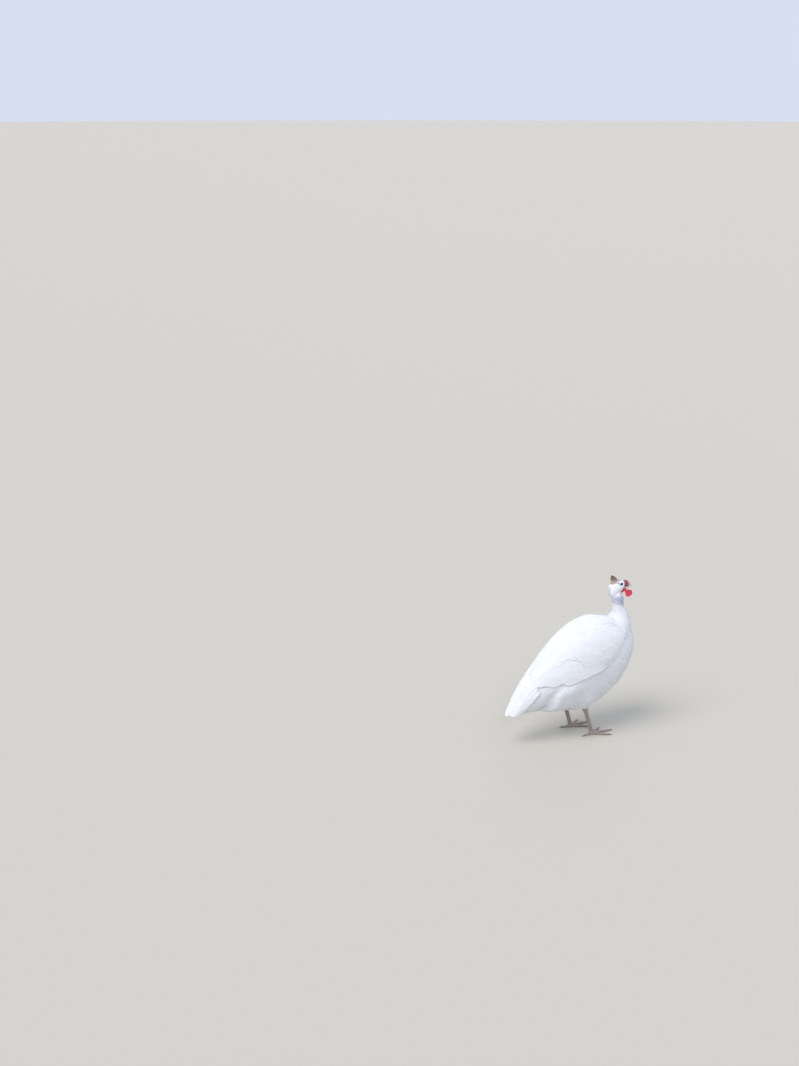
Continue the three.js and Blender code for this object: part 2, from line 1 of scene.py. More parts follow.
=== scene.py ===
# %% [markdown]
# # A white guinea fowl, dressed over its solids
#
# The imported solids give the bird's true size and pose. This lesson puts a skin, feathers, scales and
# glossy eyes over them. Everything is in metres, +Z is up, the bird heads along +X and its left side is +Y.
# The first cell loads the imported model and the record that comes with it.

import json
import math

import bmesh
import bpy
import numpy as np
from mathutils import Matrix, Vector, kdtree
from mathutils.bvhtree import BVHTree


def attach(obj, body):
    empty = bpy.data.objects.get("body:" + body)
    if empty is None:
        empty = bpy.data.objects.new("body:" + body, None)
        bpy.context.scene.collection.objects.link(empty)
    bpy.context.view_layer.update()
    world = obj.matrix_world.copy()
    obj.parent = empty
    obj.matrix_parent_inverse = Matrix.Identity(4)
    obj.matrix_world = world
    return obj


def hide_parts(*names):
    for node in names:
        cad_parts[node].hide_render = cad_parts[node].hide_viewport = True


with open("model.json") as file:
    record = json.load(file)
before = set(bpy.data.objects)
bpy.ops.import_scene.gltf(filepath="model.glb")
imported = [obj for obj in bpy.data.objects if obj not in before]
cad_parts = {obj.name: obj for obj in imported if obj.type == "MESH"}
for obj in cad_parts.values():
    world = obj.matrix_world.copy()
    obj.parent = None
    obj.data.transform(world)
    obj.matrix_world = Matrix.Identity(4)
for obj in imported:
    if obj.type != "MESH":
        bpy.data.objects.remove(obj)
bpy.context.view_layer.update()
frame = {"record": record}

# %% [markdown]
# A real bird's body is a smooth egg with a long neck, so its form is best given as sections: for each
# station along the body a point on the back, a point on the keel and a half width. These are the same
# numbers, in millimetres, that the solids were made from. A smooth line runs through each column.

# %% The body's stations
MM = 0.001
SIDES = {"left": 1, "right": -1}
FEET_X, HALF_STRIDE = 12.5, 10.5


def foot_x(side):
    """The left foot (side 1) stands behind the right one (side -1)."""
    return FEET_X - side * HALF_STRIDE


SHIFT = frame["record"]["mounts"][0]["pos_m"][0] / MM - foot_x(1)

BODY_STATIONS = [
    [-217, 78, -208, 66, 17],
    [-188, 128, -176, 78, 27],
    [-154, 178, -134, 79, 40],
    [-112, 224, -90, 74, 54],
    [-66, 266, -44, 67, 66],
    [-16, 298, 4, 64, 73],
    [36, 313, 52, 82, 75],
    [84, 308, 98, 116, 73],
    [124, 295, 136, 160, 66],
    [165, 282, 164, 198, 54],
]
NECK_STATIONS = [
    [98, 252, 57],
    [116, 281, 41],
    [121, 306, 27],
    [115, 330, 17.6],
    [112, 352, 16],
    [107, 372, 13],
]
SKULL_STATIONS = [
    [-35, -14, -30, -32, 8.5],
    [-31, -3, -22, -39, 12],
    [-20, 5, -10, -35, 14],
    [-8, 8.4, -2, -26, 14.4],
    [3, 8, 5, -18, 13.2],
    [10, 6, 9, -14, 10.2],
    [16, 3, 14, -11, 7.6],
]


def through(values):
    """A smooth line through a list of numbers, read from 0 to 1."""
    v = np.asarray(values, float)
    padded = np.concatenate([[2 * v[0] - v[1]], v, [2 * v[-1] - v[-2]]])

    def at(t):
        p = np.clip(t, 0, 1) * (len(v) - 1)
        i = np.minimum(p.astype(int) if hasattr(p, "astype") else int(p), len(v) - 2)
        w = p - i
        a, b, c, d = (padded[i + k] for k in range(4))
        start, end = (c - a) / 2, (d - b) / 2
        return b + w * (start + w * (3 * (c - b) - 2 * start - end + w * (2 * (b - c) + start + end)))

    return at


def columns(stations):
    return [through(column) for column in np.array(stations, float).T]


def ease(t, start=0.0, end=1.0):
    """0 before start, 1 after end, smooth between."""
    w = np.clip((t - start) / (end - start), 0, 1)
    return w * w * (3 - 2 * w)


def mix(a, b, w):
    return a + (b - a) * w


def hill(distance, width):
    return np.exp(-((distance / width) ** 2))


def round_ends(t, start, end):
    first = np.clip(1 - t / start, 0, 1)
    last = np.clip(1 - (1 - t) / end, 0, 1)
    return np.sqrt(1 - first * first) * np.sqrt(1 - last * last)


def section(lines, t, angle, closed=1.0, level=0.5):
    """A point on a section between a top and a bottom point in the X-Z plane, in millimetres."""
    top_x, top_z, low_x, low_z, half = (line(t) for line in lines)
    c = np.cos(angle)
    share = np.where(c > 0, level + (1 - level) * c, level * (1 + c))
    up = level + (share - level) * closed
    return np.stack([mix(low_x, top_x, up), half * closed * np.sin(angle), mix(low_z, top_z, up)], -1)


def in_body(points):
    """From the body's own millimetres to metres in the shared frame."""
    return (np.asarray(points) + np.array([SHIFT, 0, 0])) * MM


BODY = columns(BODY_STATIONS)


def body_place(s, angle):
    """The plumage's outer surface: s from the tail tip (0) to the breast (1), angle from the back down."""
    return in_body(section(BODY, s, angle))


S_STEP, ANGLE_STEP = 0.002, 0.01


def steps(s, angle):
    """Two short steps over the body, one along it and one round it."""
    along = body_place(s + S_STEP, angle) - body_place(s - S_STEP, angle)
    return along, body_place(s, angle + ANGLE_STEP) - body_place(s, angle - ANGLE_STEP)


def plumage(s, angle, lift):
    """A point at a height, in millimetres, straight out from the plumage's surface."""
    straight = np.cross(*steps(s, angle))
    straight /= np.linalg.norm(straight, axis=-1, keepdims=True) + 1e-12
    here = body_place(s, angle)
    across = here - body_place(s, angle + math.pi)
    straight = straight * np.sign(np.sum(straight * across, -1, keepdims=True))
    return here + straight * lift[..., None] * MM


print("back at its highest", body_place(np.array([0.67]), np.array([0.0])))

# %% [markdown]
# Every piece goes through one small helper. It makes the object, rides it on the body "root" and says which
# solids it stands for. A ball carried to a place function is the start of most forms: the ball's height gives
# the way along, its turn gives the way round. A tint is painted like a picture: first a base colour, then
# thinner coats over it.

# %% Helpers that make pieces
def linked(name, data):
    made = bpy.data.objects.new(name, data)
    bpy.context.scene.collection.objects.link(made)
    return made


def set_marks(mesh, name, values):
    """Stores a colour for each vertex, for the material to read."""
    full = np.ones((len(mesh.vertices), 4))
    full[:, :3] = values
    mesh.color_attributes.new(name, "FLOAT_COLOR", "POINT").data.foreach_set("color", full.ravel())


def add_piece(name, mesh, material, slot, *stands_for):
    piece = linked(name, mesh)
    mesh.materials.append(material)
    mesh.shade_smooth()
    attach(piece, "root")
    if stands_for:
        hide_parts(*stands_for)
    print(name, len(mesh.polygons), "faces")


def coords(bm):
    return np.array([v.co[:] for v in bm.verts])


def move_to(bm, points):
    for vertex, point in zip(bm.verts, points):
        vertex.co = point


def carried(sides, rings, carry):
    """A ball of radius 1 whose points are carried to carry(x, y, z)."""
    bm = bmesh.new()
    bmesh.ops.create_uvsphere(bm, u_segments=sides, v_segments=rings, radius=1)
    move_to(bm, carry(*coords(bm).T))
    bmesh.ops.recalc_face_normals(bm, faces=bm.faces)
    return bm


def ball(place, sides, rings):
    """A ball whose points are carried to place(along 0 to 1, around)."""

    def carry(x, y, z):
        return place(np.arccos(np.clip(z, -1, 1)) / math.pi, np.arctan2(y, x))

    return carried(sides, rings, carry)


def to_mesh(bm, name):
    mesh = bpy.data.meshes.new(name)
    bm.to_mesh(mesh)
    bm.free()
    return mesh


def fused(forms, voxel):
    """One closed surface round overlapping forms, made of even squares."""
    whole = bmesh.new()
    for form in forms:
        mesh = to_mesh(form, "form")
        whole.from_mesh(mesh)
        bpy.data.meshes.remove(mesh)
    carrier = linked("fusing", to_mesh(whole, "fusing"))
    remesh = carrier.modifiers.new("fuse", "REMESH")
    remesh.mode = "VOXEL"
    remesh.voxel_size = voxel
    mesh = bpy.data.meshes.new_from_object(carrier.evaluated_get(bpy.context.evaluated_depsgraph_get()))
    bpy.data.objects.remove(carrier)
    whole = bmesh.new()
    whole.from_mesh(mesh)
    bpy.data.meshes.remove(mesh)
    return whole


def evened(bm, times, verts=None):
    """Smooths a surface a number of times."""
    for _ in range(times):
        bmesh.ops.smooth_vert(
            bm, verts=verts or bm.verts, factor=0.5, use_axis_x=True, use_axis_y=True, use_axis_z=True
        )
    bm.normal_update()


def painted(points, base, *coats):
    """A tint for every point: a base colour with coats of (weight, colour) laid over it in turn."""
    tint = np.repeat(np.array(base, float)[None], len(points), 0)
    for weight, colour in coats:
        tint += (np.array(colour) - tint) * np.clip(weight, 0, 1)[:, None]
    return tint


def add_tinted(name, bm, tint_of, material, slot, *stands_for):
    """A piece that carries the tint tint_of(points) at its vertices."""
    points = coords(bm)
    mesh = to_mesh(bm, name)
    set_marks(mesh, "tint", tint_of(points))
    add_piece(name, mesh, material, slot, *stands_for)


# %% [markdown]
# Materials are built from nodes. Each reads a colour named "tint" that the mesh carries at its vertices,
# breaks it up with noise, and raises a fine bump. Numbers that are the same all over are set straight on
# the shader's sockets.

# %% A helper for materials
def new_material(name, roughness, soft=None, **sockets):
    """A plain material. soft is how much light goes under its surface and how far, in metres."""
    material = bpy.data.materials.new(name)
    material.use_nodes = True
    shader = material.node_tree.nodes["Principled BSDF"]
    sockets["Roughness"] = roughness
    if soft:
        sockets.update(Subsurface_Weight=soft[0], Subsurface_Radius=soft[1], Subsurface_Scale=1.0)
    for socket, value in sockets.items():
        shader.inputs[socket.replace("_", " ")].default_value = value
    return material, material.node_tree, shader


def node(tree, kind, inputs=None, **settings):
    made = tree.nodes.new("ShaderNode" + kind)
    for key, value in settings.items():
        setattr(made, key, value)
    for key, value in (inputs or {}).items():
        if isinstance(value, bpy.types.NodeSocket):
            tree.links.new(value, made.inputs[key])
        else:
            made.inputs[key].default_value = value
    return made


def shaded(tree, shader, colour, levels):
    """Gives the shader a colour, made lighter and darker by a range of levels."""
    level = node(tree, "MapRange", levels).outputs[0]
    shade = node(tree, "VectorMath", {0: colour, "Scale": level}, operation="SCALE")
    tree.links.new(shade.outputs[0], shader.inputs["Base Color"])


def raised(tree, shader, height, strength, distance):
    """A bump. Its strength runs from 0 to 1 and distance is its height in metres."""
    bump = node(tree, "Bump", {"Height": height, "Strength": strength, "Distance": distance})
    tree.links.new(bump.outputs["Normal"], shader.inputs["Normal"])


def finish(name, roughness, mottle, grain=None, drawn=None, **sockets):
    """The finish of a tinted piece. mottle is its noise's scale, lightest and darkest level.

    grain is the bump's texture, scale, strength and height, and drawn stretches it along an axis.
    """
    material, tree, shader = new_material(name, roughness, **sockets)
    where = node(tree, "TexCoord").outputs["Object"]
    scale, light, dark = mottle
    noise = node(tree, "TexNoise", {"Vector": where, "Scale": scale, "Detail": 3.0}).outputs[0]
    tint = node(tree, "Attribute", attribute_name="tint").outputs["Color"]
    levels = {"Value": noise, "From Min": 0.3, "From Max": 0.7, "To Min": dark, "To Max": light}
    shaded(tree, shader, tint, levels)
    if drawn:
        where = node(tree, "Mapping", {"Vector": where, "Scale": drawn}).outputs[0]
    if grain:
        texture, scale, strength, height = grain
        detail = {"Detail": 4.0} if texture == "Noise" else {}
        cells = node(tree, "Tex" + texture, {"Vector": where, "Scale": scale, **detail})
        raised(tree, shader, cells.outputs[0], strength, height)
    return material


# %% [markdown]
# Plumage white isn't paper white: the vanes' tips are nearly white, and their roots, which lie under the
# feathers in front, are painted a cool grey as the shade between the layers. Each feather is also a touch
# lighter or darker than the next. The mesh carries a "vane" colour: red runs from the root to the tip, green
# from edge to edge and blue is the feather's own chance. Barbs are a fine herringbone bump on the vane's own
# map.

# %% Plumage finish
# The grey at the roots is painted shade, where the feathers in front cover them; the tips are the vanes'
# white.
ROOT_SHADE_GREY, VANE_WHITE = (0.72, 0.75, 0.84), (0.88, 0.89, 0.93)
ROOT_SHADE_ENDS, VANE_STARTS = 0.05, 0.4


def plumage_finish(name, barb, height):
    material, tree, shader = new_material(
        name, 0.72, soft=(0.25, (0.005, 0.005, 0.006)), Sheen_Weight=0.25, Sheen_Roughness=0.4
    )
    vane = node(tree, "Attribute", attribute_name="vane").outputs["Color"]
    root_to_tip, _, chance = node(tree, "SeparateColor", {0: vane}).outputs
    ramp = node(tree, "ValToRGB", {0: root_to_tip})
    for i, (place, colour) in enumerate(((ROOT_SHADE_ENDS, ROOT_SHADE_GREY), (VANE_STARTS, VANE_WHITE))):
        ramp.color_ramp.elements[i].position = place
        ramp.color_ramp.elements[i].color = (*colour, 1)
    shaded(tree, shader, ramp.outputs[0], {"Value": chance, "To Min": 0.96, "To Max": 1.0})
    where = node(tree, "UVMap", uv_map="Vane").outputs[0]
    beside, along, _ = node(tree, "SeparateXYZ", {0: where}).outputs
    side = node(tree, "Math", {0: beside}, operation="ABSOLUTE").outputs[0]
    slant = node(tree, "Math", {0: along, 1: side}, operation="SUBTRACT").outputs[0]
    turns = node(tree, "Math", {0: slant, 1: 2 * math.pi / barb}, operation="MULTIPLY").outputs[0]
    raised(tree, shader, node(tree, "Math", {0: turns}, operation="SINE").outputs[0], 0.5, height)
    return material


FEATHER = plumage_finish("soft feather", 0.0008, 0.00004)
FLIGHT = plumage_finish("flight feather", 0.0007, 0.00003)


# %% [markdown]
# The skin is one surface under everything. It could be modelled face by face, but the body, neck, skull,
# thighs, tail stump and wing flesh are simple overlapping forms, so they are fused by a voxel remesh,
# which leaves no seam. Under the feathers it lies a few millimetres inside the solids, to leave room
# for the coat. On the face and upper neck, which are bare, it keeps the solids' surface.

# %% Forms of the skin
COAT_DEPTH, CREASE = 3.9, 3.6
SKIN_VOXEL, COAT_VOXEL, HEAD_VOXEL = 0.0028, 0.003, 0.001
TRUNK = {"rear": 0.2, "front": 1.0, "rear_round": 0.08, "front_round": 0.3}
NECK_LINES = columns(NECK_STATIONS)
SKULL_LINES = columns(SKULL_STATIONS)
HEAD_X, HEAD_Z = 118.5, 390.0
HEAD_RAISE, HEAD_TURN = 2.0, 4.0
HEAD = (
    Matrix.Translation((HEAD_X, 0, HEAD_Z))
    @ Matrix.Rotation(math.radians(-HEAD_TURN), 4, "Z")
    @ Matrix.Rotation(math.radians(-HEAD_RAISE), 4, "Y")
)
HEAD_ARRAY = np.array(HEAD)


def in_head(points):
    """From the head's own millimetres to metres in the shared frame."""
    return in_body(np.asarray(points) @ HEAD_ARRAY[:3, :3].T + HEAD_ARRAY[:3, 3])


def to_head(points):
    """From metres in the shared frame to the head's own millimetres."""
    return (np.asarray(points) / MM - np.array([SHIFT, 0, 0]) - HEAD_ARRAY[:3, 3]) @ HEAD_ARRAY[:3, :3]


def trunk_place(t, angle):
    spread = (1 - np.cos(math.pi * t)) / 2
    closed = round_ends(spread, TRUNK["rear_round"], TRUNK["front_round"])
    return in_body(section(BODY, mix(TRUNK["rear"], TRUNK["front"], spread), angle, closed))


def tail_place(stout):
    def place(t, angle):
        return in_body(section(BODY, mix(0.075, 0.3, t), angle, stout * round_ends(t, 0.35, 0.1)))

    return place


def neck_axis(t):
    return np.stack([NECK_LINES[0](t), 0 * t, NECK_LINES[1](t)], -1)


def neck_place(t, angle):
    t = np.clip(t, 0, 1)
    tangent = neck_axis(np.minimum(t + 0.001, 1)) - neck_axis(np.maximum(t - 0.001, 0))
    tangent /= np.linalg.norm(tangent, axis=-1, keepdims=True)
    fore = np.stack([tangent[:, 2], 0 * t, -tangent[:, 0]], -1)
    radius = (NECK_LINES[2](t) * round_ends(t, 0.1, 0.1))[:, None]
    across = np.array([0, 1, 0])
    return in_body(neck_axis(t) + radius * (fore * np.cos(angle)[:, None] + across * np.sin(angle)[:, None]))


def skull_place(t, angle):
    spread = (1 - np.cos(math.pi * t)) / 2
    return in_head(section(SKULL_LINES, spread, angle, round_ends(spread, 0.3, 0.2)))


def thigh_place(side, stout):
    top = np.array([2, side * 47, 130])
    end = np.array([foot_x(side) - 24, side * 34, 72])

    def place(t, angle):
        radius = mix(35 * stout, 11, ease(t, 0.1, 1)) * round_ends(t, 0.5, 0.04)
        ring = np.stack([1.15 * radius * np.cos(angle), 0.8 * radius * np.sin(angle), 0 * t], -1)
        return in_body(top + (end - top) * t[:, None] + ring)

    return place


WING_REAR, WING_FRONT, FLESH_REAR = 0.18, 0.86, 0.42
wing_upper = through([0.45, 0.2, 0.22, 0.28, 0.34, 0.44, 0.75])
wing_lower = through([0.75, 1.2, 1.5, 1.58, 1.6, 1.5, 1.1])
wing_thick = through([1.8, 2.6, 3.8, 5.2, 6.4, 5.4, 1.2])


def wing_edges(s):
    """The angles of the wing's upper and lower edge."""
    t = (s - WING_REAR) / (WING_FRONT - WING_REAR)
    return wing_upper(t), wing_lower(t)


def flesh_lift(s, angle):
    """The height of the wing's flesh over the body."""
    upper, lower = wing_edges(s)
    across = np.clip(2 * (angle - upper) / (lower - upper) - 1, -1, 1)
    thick = wing_thick((s - FLESH_REAR) / (WING_FRONT - FLESH_REAR))
    return mix(1.2, thick, np.sqrt(1 - across**4))


def wing_shell(side, rings, rear, above, thick_line, lift_of):
    """A flattened ball laid over the flank. lift_of(z, thick) is its height over the body."""

    def carry(x, y, z):
        s = mix(rear, WING_FRONT, (x + 1) / 2)
        upper, lower = wing_edges(s)
        angle = mix(upper - above, lower, (y + 1) / 2)
        thick = thick_line((s - rear) / (WING_FRONT - rear))
        return plumage(s, side * angle, lift_of(z, thick))

    return carried(64, rings, carry)


def wing_flesh(side):
    return wing_shell(side, 40, FLESH_REAR, 0, wing_thick, lambda z, thick: -5 + z * (thick + 2))


def body_forms(tail_stout, thigh_stout):
    """The trunk, the tail's stump, the neck and the thighs."""
    forms = [ball(trunk_place, 96, 72), ball(tail_place(tail_stout), 64, 24), ball(neck_place, 48, 48)]
    return forms + [ball(thigh_place(side, thigh_stout), 40, 24) for side in SIDES.values()]


head_bm = fused([ball(skull_place, 64, 48), ball(neck_place, 48, 48)], HEAD_VOXEL)
evened(head_bm, 1)
HEAD_SURFACE = BVHTree.FromBMesh(head_bm)
head_bm.free()

# %% [markdown]
# The fused body is even and coarse, so the head and bare neck are divided again and laid back onto their
# own fine surface.

# %% Fuse the skin and refine the head
COLLAR_Z, BARE_FADE, THROAT_X = 338 * MM, 9 * MM, 112
REFINED_Z, LAID_FROM, LAID_TO = 0.331, 0.334, 0.342


def bare(points):
    """1 on the face and upper neck, 0 under the plumage. The bare skin reaches lower on the throat."""
    slope = 0.25 * (points[:, 0] - (SHIFT + THROAT_X) * MM)
    return ease(points[:, 2] + slope, COLLAR_Z - BARE_FADE, COLLAR_Z + BARE_FADE)


skin_forms = body_forms(0.86, 0.72) + [ball(skull_place, 64, 48), wing_flesh(1), wing_flesh(-1)]
skin_bm = fused(skin_forms, SKIN_VOXEL)
evened(skin_bm, 3)
head_faces = [f for f in skin_bm.faces if f.calc_center_median().z > REFINED_Z]
head_edges = list({e for f in head_faces for e in f.edges})
bmesh.ops.subdivide_edges(skin_bm, edges=head_edges, cuts=3, use_grid_fill=True)
skin_bm.verts.ensure_lookup_table()
for vertex in skin_bm.verts:
    if vertex.co.z > LAID_FROM:
        near = HEAD_SURFACE.find_nearest(vertex.co)[0]
        vertex.co = vertex.co.lerp(near, float(ease(vertex.co.z, LAID_FROM, LAID_TO)))
for _ in range(2):
    evened(skin_bm, 1, [v for v in skin_bm.verts if v.co.z > REFINED_Z])
bmesh.ops.recalc_face_normals(skin_bm, faces=skin_bm.faces)
print("skin", len(skin_bm.verts), "vertices")

# %% [markdown]
# The casque is bone under a thin horny skin: a knob that leans back, with fine ridges that run up it. Its
# form is needed now, because the skin rises to it in a soft rim.

# %% The casque's form
CASQUE = {"base": (-14, 1), "top": (-23, 24), "long": (12, 6), "wide": (6.4, 3.4)}


def casque_place(t, angle):
    closed = round_ends(t, 0.05, 0.45)
    rings = 0.02 * np.sin(t * 31 + 2 * np.sin(angle * 2))
    ridge = 1 + 0.018 * np.sin(angle * 17 + 3 * t) * ease(t, 0.1, 0.4) + rings
    foot = 1 + 0.10 * hill(t - 0.12, 0.08)
    long = mix(*CASQUE["long"], t) * closed * ridge * foot
    wide = mix(*CASQUE["wide"], t) * closed * ridge * foot
    lean = t * t * 0.4 + t * 0.6
    x = mix(CASQUE["base"][0], CASQUE["top"][0], lean) + long * np.cos(angle)
    return in_head(np.stack([x, wide * np.sin(angle), mix(CASQUE["base"][1], CASQUE["top"][1], t)], -1))


casque_bm = ball(casque_place, 96, 64)
CASQUE_SURFACE = BVHTree.FromBMesh(casque_bm)


def from_casque(points):
    """Millimetres from the casque's surface, for the points near it."""
    found = [CASQUE_SURFACE.find_nearest(p, 0.02)[3] for p in points]
    return np.array([0.02 if f is None else f for f in found]) / MM


# %% [markdown]
# Now the skin's own forms: it sinks by the coat's depth under the plumage, and deeper in the crease behind
# the flank. It dips where the ear opens and rises in lids, brow, jaw and folds. Each form is a small hill or
# valley round a place given in the head's own millimetres. A search tree over points of the body's surface
# tells how far along and round the body a place lies.

# %% Lids, ears and folds
EYE = {"x": -1.0, "z": 0.5, "radius": 4.5, "side": 8.8}
EAR = {"x": -9.0, "z": -15.0}
GAPE = (14, -9.6), (4.5, -11.6)
LID_EDGE, LID_ENDS = 3.9, 6.0


def away_from(centre, x, z, wide=1.0, tall=1.0):
    """Millimetres from the middle of an eye or ear in the head's side view."""
    return np.hypot((x - centre["x"]) * wide, (z - centre["z"]) * tall)


def eye_opening(x, z):
    return away_from(EYE, x, z, 0.94, 1.05)


def off_line(x, z, start, end):
    """Distance from a straight stretch in the head's side view, and the way along it."""
    a, b = np.array(start, float), np.array(end, float)
    run = b - a
    p = np.stack([x, z], -1) - a
    t = np.clip(p @ run / (run @ run), 0, 1)
    return np.linalg.norm(p - t[:, None] * run, axis=1), t


def grid_tree(place, s_values, a_values):
    """A search tree over points of a surface, with the way along and the angle of each."""
    s, angle = (g.ravel() for g in np.meshgrid(s_values, a_values, indexing="ij"))
    points = place(s, angle)
    tree = kdtree.KDTree(len(points))
    for i, point in enumerate(points):
        tree.insert(point, i)
    tree.balance()
    return tree, s, angle


TURNS = np.linspace(-math.pi, math.pi, 145)[:-1]
BODY_TREE, BODY_S, BODY_A = grid_tree(body_place, np.linspace(0.005, 1, 220), TURNS)
NECK_TREE, NECK_T, NECK_A = grid_tree(neck_place, np.linspace(0.12, 0.96, 90), TURNS[::3])


def behind_flank(points):
    """How far ahead of the crease behind the flank a place lies, and how strong the crease is there."""
    found = [BODY_TREE.find(p)[1] for p in points]
    s, angle = BODY_S[found], np.abs(BODY_A[found])
    strength = ease(angle, 1.5, 1.8) * (1 - ease(angle, 2.4, 2.9))
    return s - (0.36 - 0.074 * (angle - 1.55)), strength


def in_crease(ahead):
    """1 along the crease, 0 away from it."""
    return (1 - ease(ahead, -0.025, 0.012)) * ease(ahead, -0.11, -0.025)


def face_relief(points):
    """How far the face's skin stands out, in millimetres."""
    x, y, z = to_head(points).T
    side = ease(np.abs(y), 4, 9)
    eye = away_from(EYE, x, z, tall=1.12)
    ear = away_from(EAR, x, z)
    relief = side * (
        -0.6 * hill(eye - 4.8, 2.2)
        - 0.22 * hill(eye - 6.5, 0.45) * ease(z - EYE["z"], 0, 3)
        - 0.14 * hill(eye - 6.1, 0.4) * ease(EYE["z"] - z, 1, 4)
        - 1.6 * (1 - ease(ear, 0.9, 1.7))
        + 0.3 * hill(ear - 2.3, 0.7)
    )
    relief += side * 0.6 * hill(off_line(x, z, (7, 7.2), (-11, 6.4))[0], 1.5)
    jaw, along = off_line(x, z, (9, -11.5), (-6, -25))
    jaw_side = side * (1 - ease(along, 0.6, 1.0)) * ease(along, 0.0, 0.2)
    relief += jaw_side * (-0.7 * hill(jaw, 1.3) + 0.4 * hill(jaw - 2.6, 1.4))
    casque_far = from_casque(points)
    relief += 0.9 * hill(casque_far, 1.7) + 0.12 * np.sin(casque_far * 3.2) * hill(casque_far, 5)
    relief += side * -0.8 * hill(off_line(x, z, *GAPE)[0], 0.6)
    relief += side * 0.5 * hill(off_line(x, z, (5, -6), (-5, -9))[0], 3.0)
    wrinkle = np.sin(z * 1.9 - x * 0.5 + 1.6 * np.sin(x * 0.45)) + 0.6 * np.sin(x * 1.5 + z * 0.7)
    relief += 0.055 * wrinkle * ease(eye, 6, 10) * (0.6 + 0.4 * np.sin(0.33 * x + np.sin(0.4 * z)))
    return relief


def neck_folds(points):
    """Loose folds across the bare neck."""
    x, y, z = to_head(points).T
    turn = np.arctan2(y, x + 4)
    fold = np.sin(z * 1.35 + 0.7 * np.sin(2 * turn) + 0.4 * np.sin(5 * turn))
    return 0.28 * fold * ease(-z, 30, 38)


def near_eye_or_ear(face):
    x, y, z = to_head(np.array(face.calc_center_median()))
    near = away_from(EYE, x, z) < 7.5 or away_from(EAR, x, z) < 3.5
    return near and abs(y) > 6 and face.calc_center_median().z > 0.345


fine_edges = list({e for f in skin_bm.faces if near_eye_or_ear(f) for e in f.edges})
bmesh.ops.subdivide_edges(skin_bm, edges=fine_edges, cuts=2, use_grid_fill=True)
skin_bm.normal_update()
skin_points = coords(skin_bm)
skin_normals = np.array([v.normal[:] for v in skin_bm.verts])
skin_bare = bare(skin_points)
ahead, strength = behind_flank(skin_points)
depth = -COAT_DEPTH * (1 - skin_bare) - CREASE * strength * in_crease(ahead)
skin_lift = depth + skin_bare * (face_relief(skin_points) + neck_folds(skin_points))
move_to(skin_bm, skin_points + skin_normals * skin_lift[:, None] * MM)


def laid_on_eyeball(points):
    """The skin round each eye hugs the ball as a lid, and inside the opening it lies deep behind it."""
    x, y, z = to_head(points).T
    ring = away_from(EYE, x, z)
    opening = eye_opening(x, z)
    ball_radius = EYE["radius"] + 0.15 + 0.22 * hill(opening - 3.75, 0.4)
    hugged = np.minimum(ring, LID_EDGE)
    lid_y = EYE["side"] + np.sqrt(ball_radius**2 - hugged**2) - 0.2 * (ring - hugged)
    lid_y = mix(EYE["side"] + 1.5, lid_y, ease(opening, 3.1, 3.45))
    far = mix(np.abs(y), lid_y, (1 - ease(ring, LID_EDGE, LID_ENDS)) * (np.abs(y) > 4))
    return in_head(np.stack([x, np.sign(y) * far, z], -1))


eye_part = to_head(coords(skin_bm))[:, 2] > -12
eye_laid = coords(skin_bm)
eye_laid[eye_part] = laid_on_eyeball(eye_laid[eye_part])
move_to(skin_bm, eye_laid)
skin_points = coords(skin_bm)
SKIN_SURFACE = BVHTree.FromBMesh(skin_bm)


def skin_tint(points):
    """White face and blue-grey neck, with painted shade in the jaw's groove, ear and gape, round the eye and
    at the casque.
    """
    x, y, z = to_head(points).T
    at_side, in_line = ease(np.abs(y), 5, 9), ease(np.abs(y), 3, 7)
    neck = ease(-z, 27, 37) * ease(x, -34, -18)
    eye = away_from(EYE, x, z, tall=1.12)
    margin = np.maximum(eye_opening(x, z) - 3.35, 0)
    jaw = hill(off_line(x, z, (8, -13.5), (-6, -27))[0], 1.9) * in_line
    gape_line_and_shade = hill(off_line(x, z, *GAPE)[0], 0.9) * in_line
    ear = away_from(EAR, x, z)
    casque_far = from_casque(points)
    casque_foot_shade = hill(np.hypot(x + 8.5, z - 3.2), 2.6) * ease(np.abs(y), 3, 6)
    return painted(
        points,
        (0.80, 0.80, 0.86),
        (0.85 * neck, (0.36, 0.40, 0.52)),
        # Two rings of painted lavender shade round the eye, the inner one in the groove by the lid.
        (0.5 * hill(eye - 7.5, 2.4), (0.58, 0.58, 0.70)),
        (0.45 * hill(eye - 4.2, 0.9) * at_side, (0.55, 0.52, 0.60)),
        (0.95 * hill(margin, 0.35) * at_side, (0.04, 0.025, 0.03)),
        # Painted shade along the groove under the cheek.
        (0.8 * jaw, (0.27, 0.28, 0.38)),
        # Painted shade in the ear's hollow.
        (0.8 * hill(ear, 1.7) * at_side, (0.26, 0.20, 0.26)),
        (0.85 * hill(np.maximum(casque_far - 0.6, 0), 1.5), (0.50, 0.37, 0.37)),
        # Painted purple shade where the casque meets the skin, at its front foot and along its back.
        (0.85 * casque_foot_shade, (0.20, 0.10, 0.16)),
        (0.5 * hill(casque_far - 1.0, 1.0) * (x < -8), (0.30, 0.18, 0.25)),
        (0.8 * ease(z, 7.0, 8.2) * ease(x, -20, -8) * (1 - ease(x, 5, 9)), (0.30, 0.19, 0.13)),
        (0.95 * ease(x, 7.0, 10.5) * ease(z, -12, -9), (0.30, 0.09, 0.14)),
        # Painted mauve shade in front of the eye, towards the cere.
        (0.3 * hill(np.hypot(x - 6.5, z + 3), 3.0), (0.42, 0.18, 0.26)),
        # The gape's dark line: partly the mouth corner's own colour, partly painted shade in its groove.
        (0.8 * gape_line_and_shade, (0.22, 0.10, 0.13)),
    )


